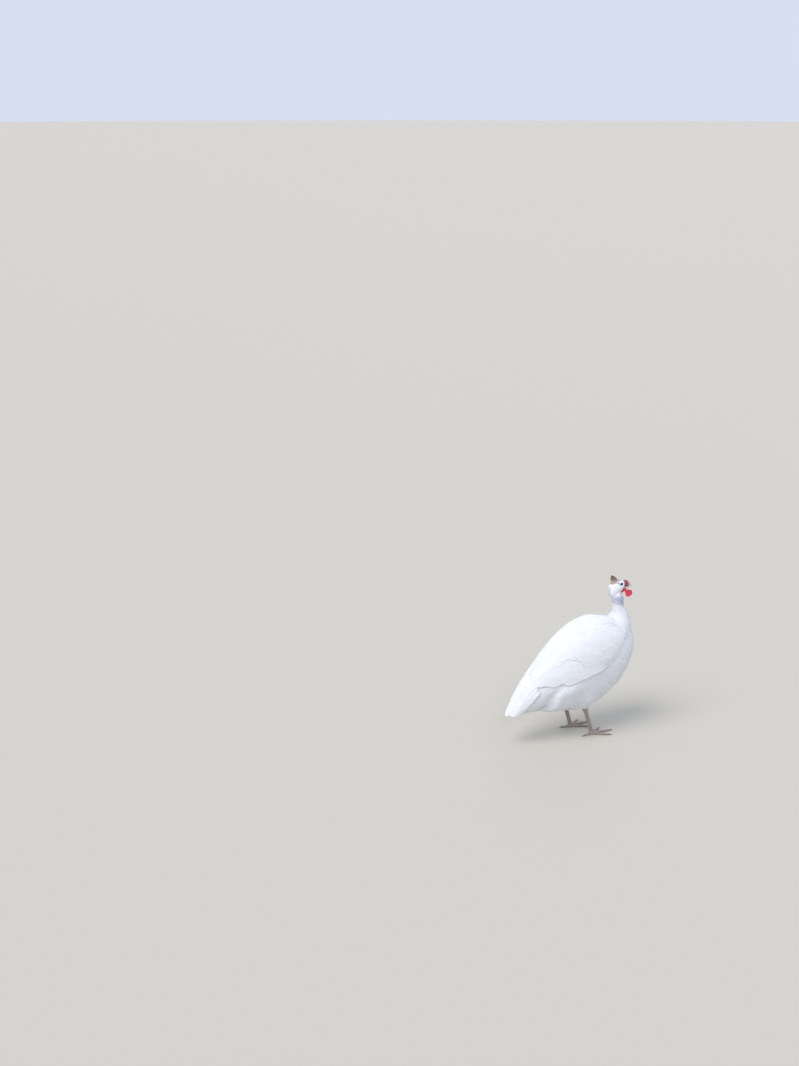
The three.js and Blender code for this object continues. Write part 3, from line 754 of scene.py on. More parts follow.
SKIN = finish(
    "bare skin and painted coat shade",
    0.55,
    (420.0, 1.06, 0.86),
    ("Voronoi", 1100.0, 0.35, 0.0002),
    soft=(0.12, (0.003, 0.0015, 0.0012)),
)
# Under the plumage the skin is painted a cool grey: painted shade for the gaps between the feathers.
COAT_GAP_SHADE = np.array([0.70, 0.73, 0.84])
skin_mesh = to_mesh(skin_bm, "skin")
set_marks(skin_mesh, "tint", skin_tint(skin_points) * skin_bare[:, None] + COAT_GAP_SHADE * (1 - skin_bare[:, None]))
add_piece("skin", skin_mesh, SKIN, "face_skin", "head", "neck", "torso", "thigh_left", "thigh_right")

# %% [markdown]
# A feather is a thin closed lens: a grid of points on top, a grid below, and one shared rim. Thousands
# of them would be slow as separate objects and the export drops instances, so each coat piece is one
# mesh, filled from arrays. Every feather also gets its patch on the map named OFBake, at its root's
# place on an unwrap of the body: the angle round the body across, the way along the body up.

# %% Feathers as one mesh
PATCH = 0.003
BARB_SIZE, FINEST_BARB = 0.017, 2.6


def each(values):
    """One value for every feather, ready to meet its rows and columns."""
    return values[:, None, None]


def lens_faces(rows, across):
    top = np.arange(rows * across).reshape(rows, across)
    low = top.copy()
    low[1:-1, 1:-1] = rows * across + np.arange((rows - 2) * (across - 2)).reshape(rows - 2, across - 2)

    def quads(grid):
        return np.stack([grid[:-1, :-1], grid[:-1, 1:], grid[1:, 1:], grid[1:, :-1]], -1).reshape(-1, 4)

    return np.concatenate([quads(top), quads(low)[:, ::-1]])


def lens_points(top, low):
    """For every feather the top grid's points, then the lower grid's inner ones."""
    count, depth = len(top), top.shape[-1]
    return np.concatenate([top.reshape(count, -1, depth), low[:, 1:-1, 1:-1].reshape(count, -1, depth)], 1)


def feather_mesh(name, along, beside, top, low, width, length, root_map, chance):
    """One mesh of many feathers. top and low are (feather, row, column, xyz)."""
    count, rows, across = top.shape[:3]
    points = lens_points(top, low)
    corners = points.shape[1]
    first = np.cross(top[:, 1:, :-1] - top[:, :-1, :-1], top[:, :-1, 1:] - top[:, :-1, :-1])
    rise = (top - low)[:, 1:-1, 1:-1].mean((1, 2))
    turned = (first.sum((1, 2)) * rise).sum(-1) > 0
    faces = lens_faces(rows, across)[None] + each(np.arange(count) * corners)
    faces[turned] = faces[turned][:, :, ::-1]
    faces = faces.reshape(-1, 4)
    mesh = bpy.data.meshes.new(name)
    mesh.from_pydata(points.reshape(-1, 3).tolist(), [], faces.tolist())
    grid = np.stack(np.meshgrid(along, beside, indexing="ij"), -1)[None].repeat(count, 0)
    t, x = np.moveaxis(lens_points(grid, grid), -1, 0)
    patch = root_map[:, None] + PATCH * np.stack([x / 2, t - 0.5], -1)
    finer = np.clip(BARB_SIZE / width, 1, FINEST_BARB)[:, None]
    vane = np.stack([x * width[:, None] / 2, t * length[:, None]], -1) * finer[..., None]
    rim = np.zeros(corners, bool)
    rim[: rows * across] = True
    rim[(np.arange(1, rows - 1)[:, None] * across + np.arange(1, across - 1)).ravel()] = False
    ends = np.empty(len(mesh.edges) * 2, int)
    mesh.edges.foreach_get("vertices", ends)
    sharp = rim[ends.reshape(-1, 2) % corners].all(1)
    mesh.attributes.new("sharp_edge", "BOOLEAN", "EDGE").data.foreach_set("value", sharp)
    for map_name, values in (("OFBake", patch), ("Vane", vane)):
        layer = mesh.uv_layers.new(name=map_name)
        layer.data.foreach_set("uv", values.reshape(-1, 2)[faces.ravel()].ravel())
    marks = np.stack([t, (x + 1) / 2, np.repeat(chance[:, None], corners, 1)], -1)
    set_marks(mesh, "vane", marks.reshape(-1, 3))
    return mesh


def body_map(s, angle):
    return np.stack([(angle / (2 * math.pi)) % 1 * 0.99 + 0.005, 0.01 + 0.72 * s], -1)


# %% [markdown]
# The folded wing is a stack of tiers, like tiles on a roof: primaries lowest and furthest back, then
# secondaries, then rows of coverts that get smaller towards the shoulder. A flight feather's path runs
# over the body from its root, sunk in the flesh, to its tip, and its vane spreads to both sides of that
# path. The shaft is a narrow ridge and the outer vane is the narrower one.

# %% Vanes laid over the body
VANE_ROWS = np.array([0, 0.16, 0.34, 0.52, 0.68, 0.8, 0.89, 0.95, 0.985, 1.0])
VANE_ACROSS = np.array([-1, -0.55, -0.1, 0, 0.1, 0.55, 1.0])


def step_aside(s, angle, ds, d_angle, distance):
    """The place on the plumage a distance (metres) to the side of a path over it."""
    along, around = steps(s, angle)
    along, around = along / (2 * S_STEP), around / (2 * ANGLE_STEP)
    path = along * ds[..., None] + around * d_angle[..., None]
    aside = np.cross(np.cross(along, around), path)
    aside *= distance[..., None] / np.linalg.norm(aside, axis=-1, keepdims=True)
    aa, ab, bb = (np.sum(p * q, -1) for p, q in ((along, along), (along, around), (around, around)))
    by_along, by_around = np.sum(along * aside, -1), np.sum(around * aside, -1)
    spread = aa * bb - ab * ab
    return s + (by_along * bb - by_around * ab) / spread, angle + (by_around * aa - by_along * ab) / spread


def vane_group(count, root, tip, lift, wide, side, random, root_lift=None, roll=-0.1, shift=0.0, spread=0.0):
    """The points of a group of vanes. root and tip are the places of its first and its last feather."""
    u = np.linspace(0, 1, count) if count > 1 else np.zeros(1)
    root_s, root_a = mix(root[0], root[2], u), mix(root[1], root[3], u)
    tip_s = mix(tip[0], tip[2], u) + 0.008 * (random.random(count) - 0.5)
    tip_a = mix(tip[1], tip[3], u) + 0.02 * (random.random(count) - 0.5)
    width = wide * (0.94 + 0.12 * random.random(count))
    sunk = 1.8 + 2.6 * ease(root_a, 1.2, 1.42)
    start = flesh_lift(root_s, root_a) - sunk if root_lift is None else np.full(count, root_lift)
    end = mix(lift[0], lift[1], u) + spread * (random.random(count) - 0.5)
    t = VANE_ROWS[None, :, None]
    x = VANE_ACROSS[None, None, :] * np.ones_like(t)
    form = mix(0.55, 1.0, ease(t, 0, 0.3)) * np.sqrt(1 - (np.clip(t - 0.74, 0, 1) / 0.262) ** 2)
    ragged = 1 + 0.05 * (random.random((count, len(VANE_ROWS), 1)) - 0.5)
    half = each(width) / 2 * form * ragged
    off = (x + shift * (1 - np.abs(x))) * half
    t = t * np.ones_like(off)
    ds = each(tip_s - root_s) * np.ones_like(off)
    da = side * each(tip_a - root_a) * np.ones_like(off)
    path_s = each(root_s) + each(tip_s - root_s) * t
    path_a = side * (each(root_a) + each(tip_a - root_a) * t)
    s, angle = step_aside(path_s, path_a, ds, da, side * off * MM)
    high = mix(each(start), each(end), 1 - (1 - t) ** 4) + roll * off
    if root_lift is None:
        high = high - 3.6 * (1 - ease(np.abs(angle), 0.12, 0.5))
    ridge = 0.22 * hill(x, 0.06) * (1 - 0.7 * t)
    top = plumage(s, angle, high + ridge)
    return {
        "top": top,
        "low": plumage(s, angle, high - 0.32 - ridge),
        "width": width * MM,
        "length": np.linalg.norm(top[:, -1, 3] - top[:, 0, 3], axis=-1),
        "root_map": body_map(root_s, side * root_a),
        "chance": random.random(count),
    }


def vanes_piece(name, groups, stands_for):
    whole = {key: np.concatenate([group[key] for group in groups]) for key in groups[0]}
    add_piece(name, feather_mesh(name, VANE_ROWS, VANE_ACROSS, **whole), FLIGHT, "plumage", stands_for)


# %% [markdown]
# Each tier below gives the places of its first and last feather, as the way along the body and the angle
# round it. Both wings use the same chances, so that one mirrors the other.

# %% Wing feathers
FLIGHT_TIERS = [
    dict(count=7, root=[0.47, 1.42, 0.47, 1.1], tip=[0.30, 1.27, 0.178, 0.66], lift=[0.4, 1.0], wide=17),
    dict(count=12, root=[0.55, 1.47, 0.55, 0.42], tip=[0.385, 1.46, 0.205, 0.40], lift=[1.4, 1.0], wide=23),
    dict(count=12, root=[0.61, 1.47, 0.61, 0.42], tip=[0.465, 1.45, 0.375, 0.42], lift=[2.6, 1.6], wide=21),
    dict(count=13, root=[0.66, 1.47, 0.66, 0.42], tip=[0.53, 1.46, 0.47, 0.44], lift=[3.6, 2.4], wide=20),
]
for side_name, side in SIDES.items():
    random = np.random.default_rng(7)
    groups = [vane_group(side=side, random=random, shift=0.25, roll=-0.05, **tier) for tier in FLIGHT_TIERS]
    vanes_piece(f"wing_{side_name}_feathers", groups, f"wing_{side_name}")

# %% [markdown]
# The tail is short and hangs down: eight long feathers on each side under one in the middle, like a
# folded fan, with rows of coverts over its root.

# %% Tail feathers
TAIL_TIERS = [
    dict(count=8, root=[0.17, 0.1, 0.17, 1.5], tip=[0.012, 0.12, 0.045, 1.72], lift=[1.6, 0.0], wide=15),
    dict(count=5, root=[0.19, 0.14, 0.19, 1.25], tip=[0.085, 0.16, 0.1, 1.36], lift=[2.2, 1.2], wide=17),
    dict(count=5, root=[0.22, 0.12, 0.22, 1.2], tip=[0.125, 0.12, 0.135, 1.26], lift=[2.2, 1.5], wide=18),
    dict(count=5, root=[0.25, 0.12, 0.25, 1.15], tip=[0.16, 0.14, 0.165, 1.2], lift=[1.6, 1.2], wide=18),
]
MIDDLE_FEATHER = dict(count=1, root=[0.17, 0, 0.17, 0], tip=[0.006, 0, 0.006, 0], lift=[2.2, 2.2], wide=16)
random = np.random.default_rng(3)
groups = [
    vane_group(side=side, random=random, root_lift=-4.4, roll=-0.06, spread=0.4, **tier)
    for side in SIDES.values()
    for tier in TAIL_TIERS
]
groups.append(vane_group(side=1, random=random, root_lift=-2.8, roll=0, **MIDDLE_FEATHER))
vanes_piece("tail_feathers", groups, "tail")

# %% [markdown]
# Contour feathers cover the rest. Their roots are spread over the coat at even distances: points are
# thrown at random on its faces, and one is kept only if no kept one is near. The coat is a second fused
# surface over the skin, full over the thighs and hollow in the crease behind the flank.

# %% Where feathers grow
FEATHER_GRID = {
    "rows": np.array([0, 0.2, 0.4, 0.58, 0.74, 0.86, 0.95, 1.0]),
    "across": np.array([-1, -0.6, 0, 0.6, 1.0]),
    "form": np.array([0.3, 0.7, 0.94, 1.0, 0.97, 0.84, 0.62, 0.34]),
}
PLUME_GRID = {
    "rows": np.array([0, 0.3, 0.6, 0.85, 1.0]),
    "across": np.array([-1, 0, 1.0]),
    "form": np.array([0.5, 1.0, 0.9, 0.6, 0.2]),
}


def scattered(bm_points, triangles, count, random):
    """Random points on triangles, as many on each as its area asks for."""
    a, b, c = (bm_points[triangles[:, k]] for k in range(3))
    area = np.linalg.norm(np.cross(b - a, c - a), axis=1)
    pick = random.choice(len(triangles), count, p=area / area.sum())
    u, v = random.random((2, count, 1))
    swap = u + v > 1
    u, v = np.where(swap, 1 - u, u), np.where(swap, 1 - v, v)
    return a[pick] + u * (b[pick] - a[pick]) + v * (c[pick] - a[pick])


def kept_apart(points, spacing):
    """The points that keep their own spacing from all kept before them."""
    cell = 0.004
    kept, cells = [], {}
    keys = np.floor(points / cell).astype(int)
    for i, (point, key, gap) in enumerate(zip(points, keys, spacing)):
        reach = int(gap / cell) + 1
        near = (
            j
            for dx in range(-reach, reach + 1)
            for dy in range(-reach, reach + 1)
            for dz in range(-reach, reach + 1)
            for j in cells.get((key[0] + dx, key[1] + dy, key[2] + dz), ())
        )
        if all(np.sum((points[j] - point) ** 2) > gap * gap for j in near):
            kept.append(i)
            cells.setdefault(tuple(key), []).append(i)
    return np.array(kept)


THROWN, SHANK_Z = 40000, 0.066
COAT_REAR, COAT_LAYER = 0.22, 2.6
coat_thick = through([1.2, 2.2, 3.0, 3.8, 4.8, 5.6, 5.6, 4.0, 1.0])


def coat_lift(z, thick):
    """Full in the middle, with blunt edges."""
    return -6 + np.sign(z) * np.sqrt(np.abs(z)) * (thick + 6)


def coat_wing(side):
    """What the small feathers lie on over the wing: its flesh and the roots of its long feathers."""
    return wing_shell(side, 48, COAT_REAR, 0.16, coat_thick, coat_lift)


body_bm = fused(body_forms(0.98, 0.86), COAT_VOXEL)
evened(body_bm, 2)
move_to(body_bm, [v.co - v.normal * COAT_LAYER * MM for v in body_bm.verts])
coat_bm = fused([body_bm, coat_wing(1), coat_wing(-1)], COAT_VOXEL)
evened(coat_bm, 14)
ahead, strength = behind_flank(coords(coat_bm))
puff = 6.6 * ease(ahead, -0.005, 0.03) * (1 - ease(ahead, 0.07, 0.2))
hollow = (CREASE + 0.6) * in_crease(ahead)
swell = strength * (puff - hollow) * MM
move_to(coat_bm, [v.co + v.normal * rise for v, rise in zip(coat_bm.verts, swell)])
evened(coat_bm, 1)
COAT_SURFACE = BVHTree.FromBMesh(coat_bm)
bmesh.ops.triangulate(coat_bm, faces=coat_bm.faces)
triangles = np.array([[v.index for v in f.verts] for f in coat_bm.faces])

random = np.random.default_rng(11)
candidates = scattered(coords(coat_bm), triangles, THROWN, random)


def read_places(points):
    """For each point the place along and round the body, and how far it is from body and neck."""
    found = [BODY_TREE.find(p) for p in points]
    on_neck = [NECK_TREE.find(p) for p in points]
    body_i = np.array([f[1] for f in found])
    neck_i = np.array([f[1] for f in on_neck])
    return {
        "s": BODY_S[body_i],
        "angle": BODY_A[body_i],
        "from_body": np.array([f[2] for f in found]),
        "neck_t": NECK_T[neck_i],
        "neck_a": NECK_A[neck_i],
        "from_neck": np.array([f[2] for f in on_neck]),
    }


places = read_places(candidates)
neck_share = ease(places["from_body"] / (places["from_body"] + places["from_neck"] + 1e-6), 0.35, 0.75)
neck_share *= candidates[:, 0] > (SHIFT + 60) * MM
round_side = np.abs(places["angle"])
wing_front = mix(0.47, 0.575, ease(round_side, 0.6, 1.3))
wing_front = mix(wing_front, 0.61, ease(round_side, 1.3, 1.4))
wing_front = wing_front + 0.022 * (random.random(len(candidates)) - 0.5)
in_wing = (
    (round_side > mix(0.54, 0.76, ease(places["s"], 0.24, 0.44)))
    & (round_side < wing_edges(places["s"])[1])
    & (places["s"] > 0.24)
    & (places["s"] < wing_front)
)
on_tail = (places["s"] < mix(0.155, 0.182, ease(round_side, 0.5, 0.7))) & (round_side < 1.55)
grows = (bare(candidates) < 0.55) & ~in_wing & ~on_tail & (neck_share * places["neck_t"] < 0.9)
grows &= candidates[:, 2] > SHANK_Z
belly = ease(round_side, 1.6, 2.2) * (1 - neck_share)
on_back = (1 - ease(round_side, 0.6, 1.0)) * ease(places["s"], 0.3, 0.4) * (1 - ease(places["s"], 0.7, 0.85))
size = mix(1.0, 0.72, ease(places["s"], 0.68, 0.95)) + 0.3 * on_back
size = mix(size, mix(0.56, 0.25, ease(places["neck_t"], 0.3, 0.75)), neck_share)
at_leg = (1 - ease(candidates[:, 2], 0.076, 0.098)) * (np.abs(candidates[:, 1]) > 0.012)
at_leg *= (candidates[:, 0] < (SHIFT + 12) * MM) * (candidates[:, 0] > (SHIFT - 34) * MM)
size = mix(size, 0.7, at_leg)
spacing = mix(0.007, 0.005, neck_share) * size * (1 - 0.18 * hill(places["s"] - 0.86, 0.1))
keep = np.nonzero(grows)[0]
keep = keep[kept_apart(candidates[keep], spacing[keep])]
print("contour feathers", len(keep))

# %% [markdown]
# Each kept root now grows its feather. Its direction is the lie of the coat: along the body towards the
# tail, straight down on the breast, and down the neck. From the root the feather's line follows the coat
# step by step and turns with it, but where the coat falls away, as over the tail or at the thigh, it
# carries on straight. Then every point of the vane is laid on the coat and lifted, more towards the tip,
# so that each feather lies flat over the ones behind it.

# %% Grow the contour feathers
SAME_WAY, LENS_THICK = 0.45, 0.0003
NECK_FROM, BELLY_FROM, BREAST_FROM = 0.4, 1.3, 0.62
roots = candidates[keep]
at_root = {key: value[keep] for key, value in places.items()}
neck_share, belly, size, round_side, at_leg = (v[keep] for v in (neck_share, belly, size, round_side, at_leg))


def down_neck(t, angle):
    way = neck_place(t - 0.02, angle) - neck_place(t + 0.02, angle)
    return way / (np.linalg.norm(way, axis=1, keepdims=True) + 1e-9)


def lie_of_coat(s, angle, neck_t, neck_a, neck_share):
    back = body_place(s - 0.01, angle) - body_place(s + 0.01, angle)
    back /= np.linalg.norm(back, axis=1, keepdims=True)
    down = np.array([-0.35, 0, -1.0])
    front = ease(s, 0.66, 0.98)[:, None]
    flow = mix(back, down, front)
    flow = mix(flow, down_neck(neck_t, neck_a), neck_share[:, None])
    return flow / np.linalg.norm(flow, axis=1, keepdims=True)


def walk(surface, root, heading, length, rows):
    """The feather's line over a surface: a place, the way on and the way out for each row."""
    line = []
    place, out, _, _ = surface.find_nearest(root)
    first_out = out
    way = (heading - out * heading.dot(out)).normalized()
    step_from = 0.0
    for t in rows:
        place = place + way * (t - step_from) * length
        step_from = t
        near, near_out, _, _ = surface.find_nearest(place)
        rises = (near - place).dot(out) > 0 and near_out.dot(out) > SAME_WAY
        if rises or near_out.dot(first_out) > SAME_WAY:
            place, out = near, near_out
            way = (way - out * way.dot(out)).normalized()
        line.append((*place, *way, *out))
    return line


def laid_on(surface, points, straight):
    """Every point of a feather's vane brought onto the surface, unless the surface has turned away there."""
    near, outs = points.copy(), straight.copy()
    for at in np.ndindex(points.shape[:-1]):
        found, out, _, _ = surface.find_nearest(points[at])
        if out.dot(straight[at]) > 0.5:
            near[at], outs[at] = found, out
    return near, outs


def grow(name, surface, grid, sunk, roots, flow, length, width, height, root_map):
    """One coat piece. Every feather is a tapered lens that rises from under the surface to its height."""
    rows, across, form = grid["rows"], grid["across"], grid["form"]
    count = len(roots)
    random = np.random.default_rng(5 + count)
    lines = np.array([walk(surface, Vector(r), Vector(f), n, rows) for r, f, n in zip(roots, flow, length)])
    place, way, out = lines[..., :3], lines[..., 3:6], lines[..., 6:]
    aside = np.cross(way, out)
    t = rows[None, :, None]
    x = across[None, None, :]
    ragged = 1 + 0.16 * (random.random((count, len(rows), 1)) - 0.5)
    half = each(width) / 2 * form[None, :, None] * ragged
    rise = t**0.85 - 0.2 * ease(t, 0.78, 1.0)
    lift = each(height) * rise * (0.93 + 0.14 * random.random((count, 1, 1)))
    lift -= sunk * (1 - t) ** 3
    tilt = 0.025 * (random.random((count, 1, 1)) - 0.5)
    high = lift - 0.03 * half * x * x + tilt * half * x + 0.004 * half * hill(x, 0.3)
    swept = -half * 0.55 * x * x * ease(t, 0.5, 1.0)
    flat = place[:, :, None] + aside[:, :, None] * (half * x)[..., None] + way[:, :, None] * swept[..., None]
    base, out = laid_on(surface, flat, np.broadcast_to(out[:, :, None], flat.shape))
    thin = np.minimum(LENS_THICK, 0.04 * half)
    low = base + out * (high - thin)[..., None]
    top = base + out * high[..., None]
    mesh = feather_mesh(name, rows, across, top, low, width, length, root_map, random.random(count))
    add_piece(name, mesh, FEATHER, "plumage")


def neck_map(neck_t, neck_a):
    return np.stack([(neck_a / (2 * math.pi)) % 1 * 0.99 + 0.005, 0.74 + 0.24 * neck_t], -1)


def grow_tract(name, index):
    count = len(index)
    random = np.random.default_rng(31 + count)
    here = {key: at_root[key][index] for key in ("s", "angle", "neck_t", "neck_a")}
    neck, low = neck_share[index], belly[index]
    ahead, strength = behind_flank(roots[index])
    over_crease = strength * ease(ahead, 0.0, 0.03) * (1 - ease(ahead, 0.07, 0.12))
    cape = hill(neck - 0.55, 0.22)
    scale = size[index] * (0.9 + 0.2 * random.random(count)) * (1 + 0.15 * cape)
    length = mix(30.0, 28.0, low) * scale * (1 + 0.15 * over_crease) * MM
    slim = mix(0.85, 0.5, ease(here["neck_t"], 0.35, 0.75))
    width = mix(18.5, 19.0, low) * scale * mix(1.0, slim, neck) * MM
    height = (mix(1.05, 1.35, low) * mix(1.0, 0.7, neck) + 2.2 * over_crease + 0.2 * cape) * MM
    flow = lie_of_coat(here["s"], here["angle"], here["neck_t"], here["neck_a"], neck)
    flow = mix(flow, np.array([-0.25, 0, -1.0]), at_leg[index][:, None])
    flow += 0.14 * (random.random((count, 3)) - 0.5)
    on_body = body_map(here["s"], here["angle"])
    root_map = np.where(neck[:, None] > 0.5, neck_map(here["neck_t"], here["neck_a"]), on_body)
    grow(name, COAT_SURFACE, FEATHER_GRID, 2.0 * MM, roots[index], flow, length, width, height, root_map)


on_neck, below = neck_share > NECK_FROM, round_side >= BELLY_FROM
tracts = {
    "neck_feathers": on_neck,
    "back_feathers": ~on_neck & ~below,
    "breast_feathers": ~on_neck & below & (at_root["s"] > BREAST_FROM),
    "flank_feathers": ~on_neck & below & (at_root["s"] <= BREAST_FROM),
}
for name, chosen in tracts.items():
    grow_tract(name, np.nonzero(chosen)[0])

# %% [markdown]
# The bare neck doesn't end at a line. Small hair-like plumes thin out over the collar, and a strip of
# white ones climbs the nape to the back of the skull. They grow from the skin itself.

# %% Plumes of the collar and nape
PLUMES_FROM_Z = 0.325
random = np.random.default_rng(23)
skin_mesh.calc_loop_triangles()
skin_triangles = np.array([t.vertices[:] for t in skin_mesh.loop_triangles])
skin_triangles = skin_triangles[skin_points[skin_triangles].mean(1)[:, 2] > PLUMES_FROM_Z]
spots = scattered(skin_points, skin_triangles, THROWN, random)
x, y, z = to_head(spots).T
bareness = bare(spots)
collar = (bareness > 0.15) & (bareness < 0.995) & (z < -22)
edge_of_nape = 5.0 + 2.5 * random.random(len(spots)) ** 2
top_of_nape = -3 - 6 * random.random(len(spots))
nape = (np.abs(y) < edge_of_nape) & (x < -17) & (z > -46) & (z < top_of_nape)
thinning = mix(0.0006, 0.0018, ease(bareness, 0.6, 1.0)) * (0.6 + 0.8 * random.random(len(spots)))
chosen = np.nonzero(collar | nape)[0]
chosen = chosen[kept_apart(spots[chosen], np.where(nape, 0.00065, thinning)[chosen])]
spots, nape = spots[chosen], nape[chosen]
found = read_places(spots)
flow = down_neck(found["neck_t"], found["neck_a"])
flow = np.where(nape[:, None], flow + np.array([-0.25, 0, 0]), flow)
flow += np.where(nape, 0.24, 0.5)[:, None] * (random.random(flow.shape) - 0.5)
length = np.where(nape, 7.0, 6.5) * (0.5 + 0.9 * random.random(len(spots))) * MM
width = np.where(nape, 0.45, 0.36) * (0.8 + 0.4 * random.random(len(spots))) * MM
height = np.where(nape, 0.9, 0.35) * MM
print("plumes", len(spots))
root_map = neck_map(found["neck_t"], found["neck_a"])
grow("nape_plumes", SKIN_SURFACE, PLUME_GRID, 0.3 * MM, spots, flow, length, width, height, root_map)

# %% [markdown]
# The bill is horn: a hooked upper half and a shovel below, with a thin gap for the mouth. The cere is a
# collar of dark red skin over the bill's root, and the nostril opens inside it. Both are the same sections
# as the solids, with many more steps. The cere is lifted a little over the horn and thins out onto it.

# %% Bill and cere
UPPER_BILL = columns(
    [
        [8, 6, 8, -8, 8.6],
        [17, 4.8, 17, -9, 7.8],
        [24, 3, 24, -9.6, 6.2],
        [30, -1.6, 29.5, -10.6, 4.4],
        [34.5, -8, 33, -12.4, 2.5],
        [36, -16, 35.2, -15.4, 0.8],
    ]
)
LOWER_BILL = columns(
    [
        [7, -10.3, 7, -17, 7.8],
        [16, -10.5, 16, -17, 6.6],
        [25, -11.2, 25, -16.4, 4.4],
        [31.5, -13, 31.5, -14.6, 1.5],
    ]
)
UPPER_LEVEL, LOWER_LEVEL = 0.3, 0.8
NOSTRIL = {"x": 18.6, "z": -1.4, "long": 2.2, "high": 1.0}
CERE_START, CERE_END = 4, 24.0


def nostril_way(x, z):
    """How far from the nostril's middle, in parts of its opening."""
    return np.hypot((x - NOSTRIL["x"]) / NOSTRIL["long"], (z - NOSTRIL["z"]) / NOSTRIL["high"])


def upper_place(t, angle):
    p = section(UPPER_BILL, t, angle, round_ends(t, 0.1, 0.15), UPPER_LEVEL)
    away = p - section(UPPER_BILL, t, angle, 0.0, UPPER_LEVEL)
    far = np.linalg.norm(away, axis=-1, keepdims=True) + 1e-9
    hole = nostril_way(p[:, 0], p[:, 2])
    dip = ease(np.abs(p[:, 1]), 3, 5) * -2.2 * (1 - ease(hole, 0.9, 1.5))
    return in_head(p + away / far * dip[:, None])


def lower_place(t, angle):
    return in_head(section(LOWER_BILL, t, angle, round_ends(t, 0.1, 0.2), LOWER_LEVEL))


def tongue_place(t, angle):
    """The tongue and floor of the mouth, which close the gap between the halves of the bill."""
    closed = round_ends(t, 0.1, 0.5)
    x = mix(6, 27.5, t)
    half = mix(6.4, 3.2, t) * closed
    z = -10.9 - 0.02 * x + 1.5 * closed * np.cos(angle)
    return in_head(np.stack([x, half * np.sin(angle), z], -1))


def cere_place(t, angle):
    front = CERE_END + 0.9 * np.cos(2 * angle) + 0.5 * np.sin(3 * angle + 1)
    front = front - 1.2 * ease(np.cos(angle), 0.6, 1)
    x = mix(CERE_START, front, np.clip(t, 0, 1))
    along = (x - 8) / 9 / 5
    p = section(UPPER_BILL, np.clip(along, 0, 1), angle, round_ends(t, 0.1, 0.1), UPPER_LEVEL)
    p[:, 0] = x
    hole = nostril_way(p[:, 0], p[:, 2])
    side = ease(np.abs(p[:, 1]), 3, 5)
    swell = 0.95 * ease(t, 0.0, 0.7) - 0.35 - 0.75 * ease(t, 0.75, 1.0) + 0.25 * side * hill(hole - 1.35, 0.3)
    swell = swell + 0.10 * np.sin(x * 2.3 + np.sin(3 * angle)) + 0.08 * np.sin(angle * 11 + x)
    p[:, 1] += np.sin(angle) * swell - np.sign(p[:, 1]) * side * 1.6 * (1 - ease(hole, 0.6, 1.0))
    p[:, 2] += np.cos(angle) * swell
    return in_head(p)


def upper_tint(points):
    x, _, z = to_head(points).T
    tip = ease(x, 26, 34), (0.84, 0.66, 0.56)
    edge = 0.6 * ease(-z, 6.5, 10), (0.80, 0.60, 0.52)
    by_cere = 0.9 * (1 - ease(x, 22.0, 26)), (0.46, 0.20, 0.21)
    return painted(points, (0.74, 0.47, 0.40), tip, edge, by_cere)


def lower_tint(points):
    root = 1 - ease(to_head(points)[:, 0], 8, 16), (0.62, 0.34, 0.33)
    return painted(points, (0.80, 0.64, 0.58), root)


def tongue_tint(points):
    return painted(points, (0.34, 0.09, 0.10))


def cere_tint(points):
    x, y, z = to_head(points).T
    low = 0.4 * ease(-z, 3, 8), (0.42, 0.14, 0.19)
    front = 0.7 * ease(x, 19.5, 22.5), (0.46, 0.20, 0.21)
    # Inside the nostril the skin is painted nearly black: painted shade in its hollow.
    hole = 0.9 * (1 - ease(nostril_way(x, z), 0.6, 1.0)) * ease(np.abs(y), 2, 4), (0.06, 0.01, 0.02)
    return painted(points, (0.27, 0.07, 0.11), low, front, hole)


def flesh_finish(name, roughness, scale, height):
    grain = ("Voronoi", scale, 0.7, height)
    return finish(name, roughness, (500.0, 1.1, 0.8), grain, soft=(0.15, (0.003, 0.001, 0.001)))


HORN = finish(
    "horn of the bill",
    0.38,
    (300.0, 1.06, 0.9),
    ("Noise", 1500.0, 0.35, 0.00012),
    drawn=(0.25, 1, 1),
    Coat_Weight=0.15,
    Coat_Roughness=0.3,
)
TONGUE = flesh_finish("wet tongue", 0.3, 1500.0, 0.0001)
CERE = flesh_finish("dark cere", 0.5, 1600.0, 0.00018)
add_tinted("upper_bill", ball(upper_place, 64, 72), upper_tint, HORN, "bill", "bill_upper")
add_tinted("lower_bill", ball(lower_place, 48, 48), lower_tint, HORN, "bill", "bill_lower")
add_tinted("tongue", ball(tongue_place, 40, 32), tongue_tint, TONGUE, "bill")
add_tinted("cere_collar", ball(cere_place, 96, 72), cere_tint, CERE, "cere", "cere")

# %% [markdown]
# The casque is brown at the tip and pinkish grey at its foot, where it takes up the skin's colour.

# %% Casque
def casque_tint(points):
    x, _, z = to_head(points).T
    streak = 0.5 + 0.5 * np.sin(x * 2.1 + 0.6 * z)
    middle = ease(z, 8, 15), (0.19, 0.12, 0.08)
    streaks = 0.4 * streak * ease(z, 6, 12), (0.30, 0.20, 0.14)
    tip = 0.75 * ease(z, 14, 23), (0.11, 0.07, 0.042)
    return painted(points, (0.46, 0.33, 0.31), middle, streaks, tip)


CASQUE_HORN = finish(
    "horny casque", 0.5, (260.0, 1.15, 0.75), ("Noise", 900.0, 0.6, 0.0003), drawn=(1, 1, 0.3)
)
add_tinted("casque_knob", casque_bm, casque_tint, CASQUE_HORN, "casque", "casque")

# %% [markdown]
# A wattle is a flat lobe of red skin that hangs from the corner of the mouth. It starts as a narrow
# strap, widens into a round paddle and cups a little, with folds that run down it and a thicker rim.

# %% Wattles
WATTLE = {"root": (8, 8.5, -14), "middle": (19, 15, -27), "across": (0.72, 0.1, 0.68)}


